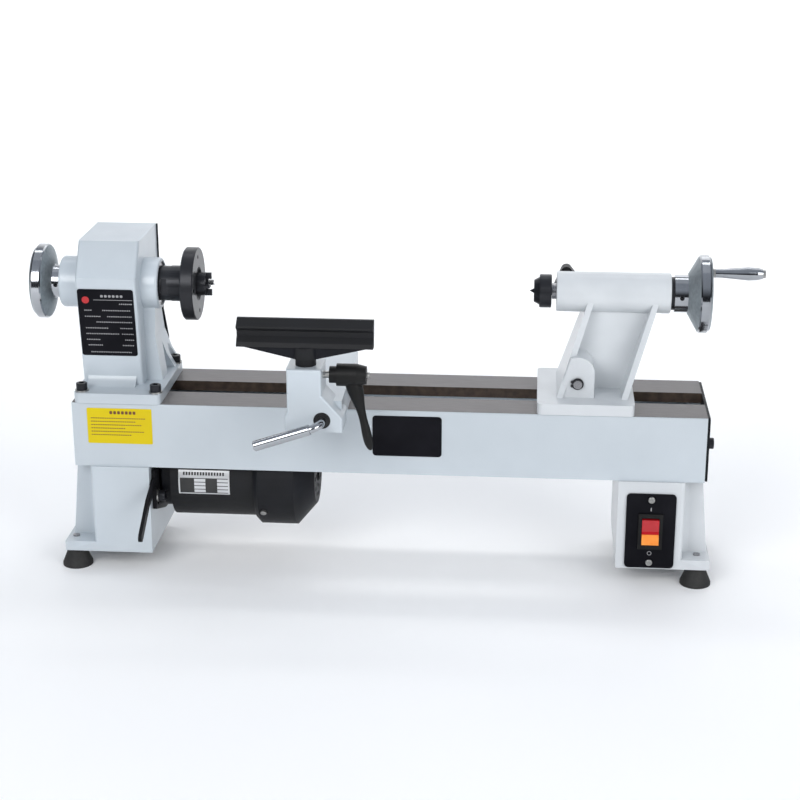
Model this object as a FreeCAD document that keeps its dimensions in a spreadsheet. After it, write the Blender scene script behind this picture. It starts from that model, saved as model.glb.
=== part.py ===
import FreeCAD, Part
import math
import os
import Sketcher

# Wood lathe, bench size: 250 mm swing over the bed and about 450 mm between centres.
# Machine frame while modelling: X along the bed from its left end, Y from the bed's
# centre line with the operator on the -Y side, Z up from the bench top.
# Every sub-part is moved by the origin_x and origin_y cells at the end, which puts
# the origin under the middle of the whole machine.

Vector = FreeCAD.Vector
Rotation = FreeCAD.Rotation

DIMENSIONS = {
    # overall placing
    "origin_x": 372.0,
    "origin_y": -44.6,
    "bed_top": 210.0,
    "axis_height": 337.0,
    # bed casting
    "bed_length": 734.0,
    "bed_half": 70.0,
    "apron_bottom": 132.0,
    "apron_wall": 6.0,
    "way_thick": 12.0,
    "slot_half": 21.0,
    "end_wall": 8.0,
    "rib_thick": 8.0,
    "rib_top": 162.0,
    "window_left": 17.0,
    "window_right": 70.0,
    "window_half": 44.0,
    "end_plate_thick": 3.0,
    "end_bolt_y": 38.0,
    "end_bolt_z": 169.0,
    # legs
    "leg_half": 73.0,
    "leg_bottom": 24.0,
    "leg_wall": 6.0,
    "left_leg_inner": 88.0,
    "left_leg_tab": -17.0,
    "left_leg_outer": -3.0,
    "right_leg_inner": 636.0,
    "right_leg_tab": 745.0,
    "side_flare": 9.0,
    "tab_thick": 12.0,
    "corner_deep": 27.0,
    "corner_wide": 30.0,
    "foot_left_x": -7.7,
    "foot_right_x": 730.9,
    "foot_y": 55.7,
    "foot_base": 18.0,
    "foot_neck": 9.5,
    "foot_pad": 3.0,
    "foot_recess": 8.0,
    "foot_recess_deep": 9.0,
    # fasteners
    "bolt_shank": 4.0,
    "bolt_hole": 4.05,
    "bolt_head": 6.5,
    "bolt_head_high": 8.0,
    "washer_radius": 8.0,
    "washer_thick": 1.6,
    "bolt_left_x": 11.0,
    "bolt_right_x": 98.0,
    "bolt_front_y": -61.0,
    "bolt_rear_y": 55.0,
    "bolt_inside_x": 25.0,
    # headstock
    "head_left": 7.0,
    "head_right": 78.0,
    "head_base_left": 3.0,
    "head_base_right": 105.0,
    "head_base_front": -71.6,
    "head_base_rear": 67.7,
    "head_base_thick": 12.0,
    "head_top": 392.0,
    "head_rear": 71.0,
    "head_wall": 6.5,
    "crease_y": -50.0,
    "crease_z": 354.0,
    "brow_y": -24.0,
    "chin_y": -34.0,
    "boss_radius": 30.0,
    "boss_left": -19.0,
    "boss_right": 98.0,
    "door_thick": 3.0,
    "door_gap": 0.4,
    "hinge_x": 1.5,
    "hinge_y": 74.0,
    "hinge_pin": 2.0,
    "hinge_knuckle": 4.0,
    "hinge_foot": 236.0,
    "hinge_head": 378.0,
    "hinge_lug_long": 12.0,
    "knob_x": 39.0,
    "knob_z": 381.5,
    "plate_left": 8.5,
    "plate_right": 74.0,
    "plate_thick": 0.8,
    # spindle line
    "bearing_bore": 12.5,
    "bearing_outer": 26.0,
    "bearing_wide": 15.0,
    "left_bearing_x": -17.0,
    "right_bearing_x": 81.0,
    "running_gap": 0.05,
    "collar_radius": 20.5,
    "collar_left": 97.0,
    "collar_right": 110.0,
    "nose_radius": 12.6,
    "nose_end": 134.0,
    "through_bore": 5.0,
    "taper_mouth": 8.9,
    "taper_end": 7.2,
    "taper_long": 64.0,
    "face_radius": 42.7,
    "face_left": 126.5,
    "face_right": 141.6,
    "face_hub": 21.0,
    "face_hole_ring": 32.2,
    "face_hole": 2.6,
    "spur_radius": 13.7,
    "spur_end": 157.0,
    "spur_tip": 160.6,
    "pulley_left": 16.0,
    "step_wide": 10.6,
    "belt_wide": 7.0,
    "belt_thick": 4.0,
    "groove_deep": 2.6,
    "wheel_rim_x": -43.0,
    "wheel_radius": 43.7,
    "wheel_rim_half": 6.8,
    "wheel_hub": 19.2,
    "wheel_hub_out": 13.8,
    # motor
    "motor_y": 0.0,
    "motor_z": 106.0,
    "motor_radius": 55.0,
    "motor_left": 93.0,
    "motor_split": 208.0,
    "motor_right": 279.0,
    "cover_radius": 64.0,
    "swing_plate_x": 89.0,
    "swing_plate_thick": 4.0,
    "pivot_y": 52.0,
    "pivot_z": 116.0,
    "lock_y": -53.0,
    "lock_z": 90.0,
    "motor_shaft": 7.0,
    # switch
    "switch_x": 674.5,
    "switch_z": 72.0,
    "switch_plate_wide": 57.0,
    "switch_plate_high": 92.0,
    "switch_screw_up": 39.0,
    "switch_screw_hole": 2.05,
    "switch_body_half": 12.0,
    "switch_body_tall": 20.0,
    "rocker_half": 9.8,
    "rocker_tall": 14.8,
    "rocker_pivot": 1.5,
    # tailstock
    "tail_left": 540.0,
    "tail_right": 651.0,
    "tail_front": -70.6,
    "tail_rear": 65.3,
    "tail_base_thick": 13.0,
    "barrel_left": 559.3,
    "barrel_right": 689.8,
    "barrel_radius": 23.2,
    "web_half": 8.0,
    "flange_thick": 7.0,
    "flange_foot_left": 562.0,
    "flange_foot_right": 643.0,
    "flange_lean": 0.31,
    "flange_foot_half": 49.0,
    "flange_head_half": 20.0,
    "cam_x": 586.0,
    "cam_z": 240.0,
    "cam_radius": 5.0,
    "cam_boss": 19.0,
    "cam_boss_z": 252.0,
    "quill_radius": 12.5,
    "quill_long": 123.0,
    "screw_radius": 6.0,
    "live_radius": 19.3,
    "live_right": 553.7,
    "live_left": 539.5,
    "live_cup": 533.3,
    "live_tip": 528.2,
    "neck_radius": 9.2,
    "tail_wheel_x": 727.8,
    "tail_wheel_radius": 44.8,
    "tail_hub_left": 693.8,
    "tail_hub": 21.7,
    "tail_hub_out": 19.0,
    "crank_ring": 33.0,
    "crank_right": 795.0,
    "lock_knob_x": 572.6,
    # tool rest and its base
    "banjo_left": 279.0,
    "banjo_right": 323.0,
    "banjo_rear": 62.0,
    "banjo_high": 30.0,
    "banjo_front": -149.0,
    "banjo_cam_x": 303.0,
    "banjo_cam_z": 223.5,
    "post_x": 283.5,
    "post_y": -128.5,
    "post_radius": 11.5,
    "post_foot": 241.0,
    "post_boss_radius": 19.5,
    "post_boss_top": 282.0,
    "rest_half": 75.8,
    "rest_top": 334.0,
    "rest_foot": 304.0,
    "gusset_foot": 290.5,
    "clamp_half": 27.0,
    "clamp_thick": 9.0,
    "clamp_gap": 0.4,
    "clamp_eye_half": 6.0,
    "handle_x": 318.0,
    "handle_z": 271.0,
}

doc = FreeCAD.newDocument("wood_lathe")
sheet = doc.addObject("Spreadsheet::Sheet", "dims")
for row, (alias, value) in enumerate(DIMENSIONS.items(), start=1):
    sheet.set("A%d" % row, alias)
    sheet.set("B%d" % row, str(value))
    sheet.setAlias("B%d" % row, alias)
doc.recompute()


class Size:
    """A length: its value in millimetres and the spreadsheet expression behind it."""

    def __init__(self, value, text):
        self.value = value
        self.text = text

    def join(self, other, sign, result):
        right = other.text if isinstance(other, Size) else repr(float(other))
        return Size(result, "(%s %s %s)" % (self.text, sign, right))

    def __add__(self, other):
        return self.join(other, "+", self.value + number(other))

    def __sub__(self, other):
        return self.join(other, "-", self.value - number(other))

    def __mul__(self, other):
        return self.join(other, "*", self.value * number(other))

    def __neg__(self):
        return Size(-self.value, "(0 - %s)" % self.text)

    def __rsub__(self, other):
        return Size(number(other) - self.value, "(%s - %s)" % (repr(float(other)), self.text))

    __radd__ = __add__
    __rmul__ = __mul__


def number(size):
    return size.value if isinstance(size, Size) else float(size)


def dim(alias):
    return Size(DIMENSIONS[alias], "dims." + alias)


def bind(target, name, size):
    """Set a property from a plain number, or tie it to the spreadsheet."""
    if isinstance(size, Size):
        target.setExpression(name, size.text)
    elif "." not in name:
        setattr(target, name, float(size))


def seat(target, x, y, z, rotation=Rotation()):
    """Give an object its Placement, with each coordinate tied to the spreadsheet."""
    target.Placement = FreeCAD.Placement(Vector(number(x), number(y), number(z)), rotation)
    for letter, size in (("x", x), ("y", y), ("z", z)):
        bind(target, ".Placement.Base." + letter, size)


NODES = []


def node(target, label, x=0.0, y=0.0, z=0.0, rotation=Rotation()):
    """Name a finished sub-part and move it from the machine frame to the part frame."""
    if target.TypeId not in ("PartDesign::Body", "Part::Feature", "Part::Compound"):
        target = group(target)
    target.Label = label
    seat(target, x - dim("origin_x") if isinstance(x, Size) else -dim("origin_x") + x,
         y - dim("origin_y") if isinstance(y, Size) else -dim("origin_y") + y,
         z, rotation)
    NODES.append(target)
    return target


# ---- Part primitives in the machine frame ----

TURN = {
    "x": Rotation(Vector(0, 1, 0), 90),
    "y": Rotation(Vector(1, 0, 0), -90),
    "z": Rotation(),
}


def box(x0, x1, y0, y1, z0, z1):
    made = doc.addObject("Part::Box", "box")
    for name, low, high in (("Length", x0, x1), ("Width", y0, y1), ("Height", z0, z1)):
        bind(made, name, high - low)
    seat(made, x0, y0, z0)
    return made


def axis_seat(made, axis, start, first, second):
    """Lay a primitive's own Z along an axis; first and second are the other two coordinates."""
    spots = {"x": (start, first, second), "y": (first, start, second), "z": (first, second, start)}
    seat(made, *spots[axis], TURN[axis])


def rod(axis, start, end, radius, first, second):
    made = doc.addObject("Part::Cylinder", "rod")
    bind(made, "Radius", radius)
    bind(made, "Height", end - start)
    axis_seat(made, axis, start, first, second)
    return made


def cone(axis, start, end, radius_start, radius_end, first, second):
    made = doc.addObject("Part::Cone", "cone")
    bind(made, "Radius1", radius_start)
    bind(made, "Radius2", radius_end)
    bind(made, "Height", end - start)
    axis_seat(made, axis, start, first, second)
    return made


def ring(axis, start, end, outer, inner, first, second):
    return cut(rod(axis, start, end, outer, first, second),
               rod(axis, start - 1, end + 1, inner, first, second))


def fuse(*pieces):
    if len(pieces) == 1:
        return pieces[0]
    made = doc.addObject("Part::MultiFuse", "fuse")
    made.Shapes = list(pieces)
    made.Refine = True
    return made


def cut(base, *tools):
    made = doc.addObject("Part::Cut", "cut")
    made.Base = base
    made.Tool = fuse(*tools)
    made.Refine = True
    return made


def common(*pieces):
    made = doc.addObject("Part::MultiCommon", "common")
    made.Shapes = list(pieces)
    return made


def group(*pieces):
    """Separate solids of one kind, such as a set of bolts, kept in one sub-part."""
    made = doc.addObject("Part::Compound", "group")
    made.Links = list(pieces)
    return made


def outline(sketch, points):
    """Close a polygon through the points, each corner held by two bound distances."""
    count = len(points)
    corners = [Vector(number(a), number(b), 0) for a, b in points]
    for i in range(count):
        sketch.addGeometry(Part.LineSegment(corners[i], corners[(i + 1) % count]), False)
    for i in range(count):
        sketch.addConstraint(Sketcher.Constraint("Coincident", i, 2, (i + 1) % count, 1))
    for i, pair in enumerate(points):
        for kind, axis, size in (("DistanceX", -2, pair[0]), ("DistanceY", -1, pair[1])):
            if not isinstance(size, Size) and size == 0:
                sketch.addConstraint(Sketcher.Constraint("PointOnObject", i, 1, axis))
                continue
            index = sketch.addConstraint(Sketcher.Constraint(kind, -1, 1, i, 1, number(size)))
            if isinstance(size, Size):
                sketch.setExpression("Constraints[%d]" % index, size.text)


# Each sketch plane maps its own two axes to two machine axes and looks along the third.
PLANES = {
    "x": Rotation(Vector(0, 1, 0), Vector(0, 0, 1), Vector(1, 0, 0), "ZXY"),
    "y": Rotation(Vector(1, 0, 0), Vector(0, 0, 1), Vector(0, -1, 0), "ZXY"),
    "z": Rotation(),
}


def prism(axis, points, start, end):
    """Extrude a polygon along an axis. Its points are (y, z), (x, z) or (x, y)."""
    sketch = doc.addObject("Sketcher::SketchObject", "profile")
    seats = {"x": (start, 0, 0), "y": (0, start, 0), "z": (0, 0, start)}
    seat(sketch, *seats[axis], PLANES[axis])
    outline(sketch, points)
    made = doc.addObject("Part::Extrusion", "prism")
    made.Base = sketch
    made.DirMode = "Custom"
    made.Dir = {"x": Vector(1, 0, 0), "y": Vector(0, 1, 0), "z": Vector(0, 0, 1)}[axis]
    bind(made, "LengthFwd", end - start)
    made.Solid = True
    return made


def pick_edges(shape, test):
    return [i for i, edge in enumerate(shape.Edges, start=1) if test(edge)]


def soften(base, radius, test, kind="Part::Fillet"):
    """Round or chamfer the edges of a shape that pass the test."""
    doc.recompute()
    made = doc.addObject(kind, "soft")
    made.Base = base
    made.Edges = [(i, float(radius), float(radius)) for i in pick_edges(base.Shape, test)]
    return made


def runs_along(axis):
    """A test for straight edges that are parallel to an axis."""
    def test(edge):
        ends = [v.Point for v in edge.Vertexes]
        if len(ends) != 2 or not isinstance(edge.Curve, Part.Line):
            return False
        across = (ends[1] - ends[0]).normalize()
        return abs(getattr(across, axis)) > 0.999
    return test


def along_at(axis, **limits):
    """A test for edges along an axis whose middle lies within the named limits."""
    straight = runs_along(axis)

    def test(edge):
        middle = edge.CenterOfMass
        inside = [low <= getattr(middle, name) <= high for name, (low, high) in limits.items()]
        return straight(edge) and all(inside)
    return test


# ---- PartDesign bodies ----

def new_sketch(body, role, name):
    sketch = body.newObject("Sketcher::SketchObject", name)
    plane = [f for f in body.Origin.OriginFeatures if f.Role == role][0]
    sketch.AttachmentSupport = [(plane, "")]
    sketch.MapMode = "FlatFace"
    return sketch


def turned(label, points, x, y, z, rotation=Rotation()):
    """A lathe-turned body. Points are (along, radius) and it is revolved about its own X."""
    body = doc.addObject("PartDesign::Body", label + "_body")
    sketch = new_sketch(body, "XY_Plane", label + "_profile")
    outline(sketch, points)
    turn = body.newObject("PartDesign::Revolution", label + "_turn")
    turn.Profile = sketch
    turn.ReferenceAxis = (sketch, ["H_Axis"])
    turn.Angle = 360
    body.Tip = turn
    return node(body, label, x, y, z, rotation)


def drill(body, role, name, spots, radius, reverse=False):
    """Cut round holes right through a body from one of its own origin planes."""
    sketch = new_sketch(body, role, name + "_centres")
    for i, (a, b) in enumerate(spots):
        spot = Vector(number(a), number(b), 0)
        sketch.addGeometry(Part.Circle(spot, Vector(0, 0, 1), number(radius)), False)
        for kind, size in (("DistanceX", a), ("DistanceY", b)):
            index = sketch.addConstraint(
                Sketcher.Constraint(kind, -1, 1, i, 3, number(size)))
            if isinstance(size, Size):
                sketch.setExpression("Constraints[%d]" % index, size.text)
        index = sketch.addConstraint(Sketcher.Constraint("Radius", i, number(radius)))
        if isinstance(radius, Size):
            sketch.setExpression("Constraints[%d]" % index, radius.text)
    doc.recompute()
    before = body.Shape.Volume
    pocket = body.newObject("PartDesign::Pocket", name)
    pocket.Profile = sketch
    pocket.Type = "ThroughAll"
    pocket.Midplane = not reverse
    body.Tip = pocket
    doc.recompute()
    if body.Shape.Volume >= before - 0.1:
        raise RuntimeError(name + " cut nothing")
    return pocket


# ---- bed, legs and feet ----

bed_top = dim("bed_top")
apron_bottom = dim("apron_bottom")
axis_z = dim("axis_height")
gap = dim("running_gap")
RIB_SPOTS = (304.0, 420.0, 536.0, 640.0)


def make_bed():
    length = dim("bed_length")
    half = dim("bed_half")
    inner = half - dim("apron_wall")
    way_bottom = bed_top - dim("way_thick")
    slot = dim("slot_half")
    block = box(0, length, -half, half, apron_bottom, bed_top)
    channel = box(dim("end_wall"), length + 1, -inner, inner, apron_bottom - 1, way_bottom)
    slot_cut = box(dim("end_wall"), length + 1, -slot, slot, way_bottom - 1, bed_top + 1)
    window = box(dim("window_left"), dim("window_right"), -dim("window_half"),
                 dim("window_half"), way_bottom - 1, bed_top + 1)
    holes = [rod("z", way_bottom - 1, bed_top + 1, dim("bolt_hole"), x, y)
             for x, y in headstock_bolt_spots()]
    shell = cut(block, channel, slot_cut, window, *holes)
    ribs = [box(x, dim("rib_thick") + x, -inner - 1, inner + 1, apron_bottom, dim("rib_top"))
            for x in RIB_SPOTS]
    lug_half = 9.0
    lugs = [box(length - 16, length, side * dim("end_bolt_y") - lug_half,
                side * dim("end_bolt_y") + lug_half, apron_bottom, way_bottom + 1)
            for side in (-1.0, 1.0)]
    end_holes = [rod("x", length - 18, length + 1, dim("bolt_hole"),
                     side * dim("end_bolt_y"), dim("end_bolt_z")) for side in (-1.0, 1.0)]
    casting = cut(fuse(shell, *ribs, *lugs), *end_holes)
    edges = soften(casting, 2.0, along_at("x", z=(209.9, 210.1), y=(-70.1, -69.9)))
    edges = soften(edges, 2.0, along_at("x", z=(209.9, 210.1), y=(69.9, 70.1)))
    node(edges, "bed_casting")


def headstock_bolt_spots():
    return [(dim("bolt_left_x"), dim("bolt_front_y")), (dim("bolt_right_x"), dim("bolt_front_y")),
            (dim("bolt_right_x"), dim("bolt_rear_y")), (dim("bolt_inside_x"), dim("bolt_rear_y"))]


def make_leg(label, inner, tab, top_outer, side, holes):
    """One hollow leg. side is -1 for the left leg and 1 for the right one."""
    half = dim("leg_half")
    wall = dim("leg_wall")
    bottom = dim("leg_bottom")
    tab_top = bottom + dim("tab_thick")
    outline_points = [(inner, bottom), (inner, apron_bottom), (top_outer, apron_bottom),
                      (top_outer + side * dim("side_flare"), tab_top), (tab, tab_top),
                      (tab, bottom)]
    block = prism("y", outline_points, -half, half)
    corner_x = top_outer - side * dim("corner_wide") + side * dim("side_flare")
    low, high = (tab - 1, corner_x) if side < 0 else (corner_x, tab + 1)
    corners = [box(low, high, y0, y1, tab_top, apron_bottom + 1)
               for y0, y1 in ((-half - 1, -half + dim("corner_deep")),
                              (half - dim("corner_deep"), half + 1))]
    body = cut(block, *corners)
    body = soften(body, 9.0, along_at("z", x=(number(corner_x) - 0.1, number(corner_x) + 0.1),
                                      y=(-50, 50)))
    body = soften(body, 5.0, along_at("z", x=(number(corner_x) - 0.1, number(corner_x) + 0.1)))
    near = corner_x - side * wall
    far = inner + side * wall
    wide_low, wide_high = (near, far) if side < 0 else (far, near)
    narrow_half = half - dim("corner_deep") - wall
    outer_low = top_outer - side * (wall + 1)
    slim_low, slim_high = (outer_low, near + 1) if side < 0 else (near - 1, outer_low)
    hollow = box(wide_low, wide_high, -half + wall, half - wall, bottom - 1, apron_bottom + 1)
    slim = box(slim_low, slim_high, -narrow_half, narrow_half, bottom - 1, apron_bottom + 1)
    foot_x = dim("foot_left_x") if side < 0 else dim("foot_right_x")
    screws = [rod("z", bottom - 1, tab_top + 1, dim("bolt_hole"), foot_x, s * dim("foot_y"))
              for s in (-1.0, 1.0)]
    node(cut(body, hollow, slim, *screws, *holes), label)


def make_legs():
    inner = dim("left_leg_inner")
    wall_left = inner - dim("leg_wall") - 1
    left_holes = [
        rod("x", wall_left, inner + 1, 19.0, dim("motor_y"), dim("motor_z")),
        rod("x", wall_left, inner + 1, dim("bolt_hole"), dim("pivot_y"), dim("pivot_z")),
        rod("x", wall_left, inner + 1, dim("bolt_hole"), dim("lock_y"), dim("lock_z")),
    ]
    make_leg("left_leg", inner, dim("left_leg_tab"), dim("left_leg_outer"), -1.0, left_holes)
    front = -dim("leg_half")
    wall_back = front + dim("leg_wall") + 1
    x, z = dim("switch_x"), dim("switch_z")
    half = dim("switch_body_half") + 1.2
    tall = dim("switch_body_tall") + 1.2
    right_holes = [box(x - half, x + half, front - 1, wall_back, z - tall, z + tall)]
    right_holes += [rod("y", front - 1, wall_back, dim("switch_screw_hole"), x, height)
                    for height in switch_screw_heights()]
    make_leg("right_leg", dim("right_leg_inner"), dim("right_leg_tab"), dim("bed_length"), 1.0,
             right_holes)


def switch_screw_heights():
    return (dim("switch_z") - dim("switch_screw_up"), dim("switch_z") + dim("switch_screw_up"))


def foot_spots():
    return [(x, side * dim("foot_y")) for x in (dim("foot_left_x"), dim("foot_right_x"))
            for side in (-1.0, 1.0)]


def make_feet():
    top = dim("leg_bottom")
    feet = []
    screws = []
    for x, y in foot_spots():
        pad = rod("z", 0, dim("foot_pad"), dim("foot_base"), x, y)
        skirt = cone("z", dim("foot_pad"), top, dim("foot_base"), dim("foot_neck"), x, y)
        recess = rod("z", -1.0, dim("foot_recess_deep"), dim("foot_recess"), x, y)
        feet.append(cut(fuse(pad, skirt), recess, rod("z", 8.0, top + 1, dim("bolt_hole"), x, y)))
        head = rod("z", 3.5, 8.9, dim("bolt_head"), x, y)
        shank = rod("z", 8.0, top + dim("tab_thick") + 1.5, dim("bolt_shank"), x, y)
        screws.append(fuse(head, shank))
    node(group(*feet), "rubber_feet")
    node(group(*screws), "foot_screws")


def make_end_plate():
    left = dim("bed_length")
    right = left + dim("end_plate_thick")
    plate = box(left, right, -dim("bed_half"), dim("bed_half"), apron_bottom, bed_top - 0.5)
    holes = [rod("x", left - 1, right + 1, dim("bolt_hole"), s * dim("end_bolt_y"),
                 dim("end_bolt_z")) for s in (-1.0, 1.0)]
    plate = cut(plate, *holes)
    node(soften(plate, 5.0, along_at("x")), "bed_end_plate")
    bolts = [socket_bolt("x", right, -1.0, 17.0, s * dim("end_bolt_y"), dim("end_bolt_z"))
             for s in (-1.0, 1.0)]
    node(group(*bolts), "end_plate_bolts")


def socket_bolt(axis, seat_at, side, shank_long, first, second):
    """A socket head cap screw. side is -1 when its head stands on the high side of the seat."""
    head_far = seat_at - side * dim("bolt_head_high")
    tip = seat_at + side * shank_long
    low, high = (seat_at, head_far) if side < 0 else (head_far, seat_at)
    head = soften(rod(axis, low, high, dim("bolt_head"), first, second), 0.8,
                  lambda edge: abs(getattr(edge.CenterOfMass, axis) - number(head_far)) < 0.01)
    shank_low, shank_high = (tip, seat_at + 0.5) if side < 0 else (seat_at - 0.5, tip)
    shank = rod(axis, shank_low, shank_high, dim("bolt_shank"), first, second)
    socket_depth = 4.5
    hexagon = doc.addObject("Part::Prism", "socket")
    hexagon.Polygon = 6
    hexagon.Circumradius = 3.5
    hexagon.Height = socket_depth + 1
    start = head_far - socket_depth if side < 0 else head_far - 1
    axis_seat(hexagon, axis, start, first, second)
    return cut(fuse(head, shank), hexagon)


# ---- headstock ----

def make_headstock():
    left, right = dim("head_left"), dim("head_right")
    base_top = bed_top + dim("head_base_thick")
    wall = dim("head_wall")
    side_shape = [(dim("chin_y"), base_top - 1), (dim("crease_y"), dim("crease_z")),
                  (dim("brow_y"), dim("head_top")), (dim("head_rear"), dim("head_top")),
                  (dim("head_rear"), base_top - 1)]
    shell = prism("x", side_shape, left, right)
    shell = soften(shell, 4.0, lambda e: front_edge(e, number(right)))
    shell = soften(shell, 3.0, lambda e: front_edge(e, number(left)))
    base = box(dim("head_base_left"), dim("head_base_right"), dim("head_base_front"),
               dim("head_base_rear"), bed_top, base_top)
    base = soften(base, 7.0, runs_along("z"))
    boss = rod("x", dim("boss_left"), dim("boss_right"), dim("boss_radius"), 0, axis_z)
    boss = soften(boss, 3.0, lambda edge: edge.Length > 100)
    rear_flare = prism("y", [(right - 1, axis_z), (right + 2, axis_z - 40),
                             (right + 6, axis_z - 74), (right + 14, axis_z - 98),
                             (dim("head_base_right") - 3, base_top - 1),
                             (right - 1, base_top - 1)], 36.0, dim("head_base_rear"))
    left_flare = prism("y", [(left + 1, axis_z), (left - 1, axis_z - 60),
                             (dim("head_base_left") + 1, base_top - 1),
                             (left + 1, base_top - 1)], -18.0, dim("head_base_rear"))
    boss_rib = prism("y", [(right - 1, axis_z), (right + 15, axis_z), (right + 12, axis_z - 60),
                           (right + 19, base_top - 1), (right - 1, base_top - 1)], -15.0, 13.0)
    knob_x, knob_z = dim("knob_x"), dim("knob_z")
    knob_lug = box(knob_x - 7, knob_x + 7, 50.0, dim("head_rear"), knob_z - 8,
                   dim("head_top") - 2)
    lug_long = dim("hinge_lug_long")
    hinge_lugs = [hinge_lug(low, low + lug_long)
                  for low in (dim("hinge_foot"), dim("hinge_head") - lug_long)]
    block = fuse(shell, base, boss, rear_flare, left_flare, boss_rib, front_cove(base_top))
    hollow = prism("x", [(dim("chin_y") + wall, bed_top - 1),
                         (dim("crease_y") + wall, dim("crease_z") - 2),
                         (dim("brow_y") + wall - 2, dim("head_top") - wall),
                         (dim("head_rear") + 1, dim("head_top") - wall),
                         (dim("head_rear") + 1, base_top + 4), (dim("window_half"), base_top + 4),
                         (dim("window_half"), bed_top - 1)], left + wall, right - wall)
    bearing = dim("bearing_outer") + 0.02
    bores = [
        rod("x", dim("boss_left") - 1, dim("left_bearing_x") + dim("bearing_wide"), bearing,
            0, axis_z),
        rod("x", dim("right_bearing_x"), dim("boss_right") + 1, bearing, 0, axis_z),
        rod("x", dim("boss_left"), dim("boss_right"), 17.0, 0, axis_z),
    ]
    bolt_holes = [rod("z", bed_top - 1, base_top + 5, dim("bolt_hole"), x, y)
                  for x, y in headstock_bolt_spots()]
    hollowed = cut(block, hollow)
    whole = fuse(hollowed, knob_lug, *hinge_lugs)
    head_room = [rod("z", base_top, base_top + 30, dim("washer_radius") + 0.7, x, y)
                 for x, y in headstock_bolt_spots()[:3]]
    knob_hole = rod("y", 45.0, dim("head_rear") + 1, 4.0, knob_x, knob_z)
    pin_hole = rod("z", dim("hinge_foot") - 6, dim("hinge_head") + 2, dim("hinge_pin") + gap,
                   dim("hinge_x"), dim("hinge_y"))
    node(cut(whole, *bores, *bolt_holes, *head_room, knob_hole, pin_hole), "headstock_casting")


def front_edge(edge, x_at):
    """Edges of the headstock's two front faces, on one side of the casting."""
    middle = edge.CenterOfMass
    return abs(middle.x - x_at) < 0.01 and middle.y < -30 and middle.z > 230


def front_cove(base_top):
    """The hollow curve where the headstock's front face runs down into its base."""
    reach = 14.0
    chin = dim("chin_y")
    low, high = dim("head_left") + 6, dim("head_right") - 8
    wedge = box(low, high, chin - reach, chin + 2, base_top - 1, base_top + reach)
    return cut(wedge, rod("x", low - 1, high + 1, reach, chin - reach - 1, base_top + reach))


def hinge_lug(low, high):
    barrel = rod("z", low, high, dim("hinge_knuckle"), dim("hinge_x"), dim("hinge_y"))
    x, y = dim("hinge_x"), dim("hinge_y")
    arm = box(x - 2.5, dim("head_left") + 2, y - 8, y - 3.1, low, high)
    return fuse(barrel, arm, box(x - 2.5, x + 3, y - 8, y, low, high))


def make_headstock_fasteners():
    base_top = bed_top + dim("head_base_thick")
    bolts = []
    washers = []
    for index, (x, y) in enumerate(headstock_bolt_spots()):
        floor = base_top + 4 if index == 3 else base_top
        washers.append(ring("z", floor, floor + dim("washer_thick"), dim("washer_radius"),
                            dim("bolt_hole"), x, y))
        bolts.append(socket_bolt("z", floor + dim("washer_thick"), -1.0, 25.0, x, y))
    plate_right = dim("swing_plate_x") + dim("swing_plate_thick")
    washers.append(ring("x", plate_right + 0.1, plate_right + 0.1 + dim("washer_thick"),
                        dim("washer_radius"), dim("bolt_hole"), dim("lock_y"), dim("lock_z")))
    node(group(*bolts), "headstock_bolts")
    node(group(*washers), "plain_washers")


def make_nameplate():
    """A thin plate on the sloping front face, standing off along that face's own normal."""
    rise = number(dim("crease_z")) - number(bed_top + dim("head_base_thick") - 1)
    run = number(dim("chin_y")) - number(dim("crease_y"))
    low, high = 0.282, 0.902
    thick = dim("plate_thick")

    def front(share):
        return (dim("crease_y") + run * (1 - share), dim("crease_z") - rise * (1 - share))

    (y_low, z_low), (y_high, z_high) = front(low), front(high)
    strip = prism("x", [(y_low, z_low), (y_low - thick, z_low), (y_high - thick, z_high),
                        (y_high, z_high)], dim("plate_left"), dim("plate_right"))
    node(soften(strip, 3.0, lambda edge: edge.Length < 1.2), "headstock_nameplate")


def make_bearings():
    made = [ring("x", start, start + dim("bearing_wide"), dim("bearing_outer"),
                 dim("bearing_bore"), 0, axis_z)
            for start in (dim("left_bearing_x"), dim("right_bearing_x"))]
    node(group(*made), "spindle_bearings")


def make_door():
    rear = dim("head_rear")
    near = rear + dim("door_gap")
    far = near + dim("door_thick")
    left = dim("hinge_x")
    right = dim("head_right") + 1.5
    knuckle_low = dim("hinge_foot") + dim("hinge_lug_long") + 1
    knuckle_high = dim("hinge_head") - dim("hinge_lug_long") - 1
    panel = prism("y", [(left, 226.0), (right + 8, 226.0), (right + 8, 250.0), (right + 3, 285.0),
                        (right, 330.0), (right, 391.0), (left, 391.0)], near, far)
    notches = [box(left - 5, dim("head_left") + 0.5, near - 1, far + 1, low, high)
               for low, high in ((knuckle_low - 24, knuckle_low),
                                 (knuckle_high, dim("head_top")))]
    knuckle = rod("z", knuckle_low, knuckle_high, dim("hinge_knuckle"), dim("hinge_x"),
                  dim("hinge_y"))
    bore = rod("z", knuckle_low - 1, knuckle_high + 1, dim("hinge_pin") + gap, dim("hinge_x"),
               dim("hinge_y"))
    hole = rod("y", near - 1, far + 1, 3.6, dim("knob_x"), dim("knob_z"))
    node(cut(fuse(cut(panel, *notches), knuckle), bore, hole), "belt_door")
    node(rod("z", dim("hinge_foot") - 1, dim("hinge_head") + 1, dim("hinge_pin"),
             dim("hinge_x"), dim("hinge_y")), "door_hinge_pin")
    knob_front = far + 0.4
    grip = lobed_knob(knob_front, knob_front + 12.0, 6.0, 3.6, 5.5, dim("knob_x"),
                      dim("knob_z"), 30.0)
    stud = rod("y", dim("head_rear") - 5, knob_front + 1, 3.0, dim("knob_x"), dim("knob_z"))
    node(fuse(grip, stud), "door_knob")


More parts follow.
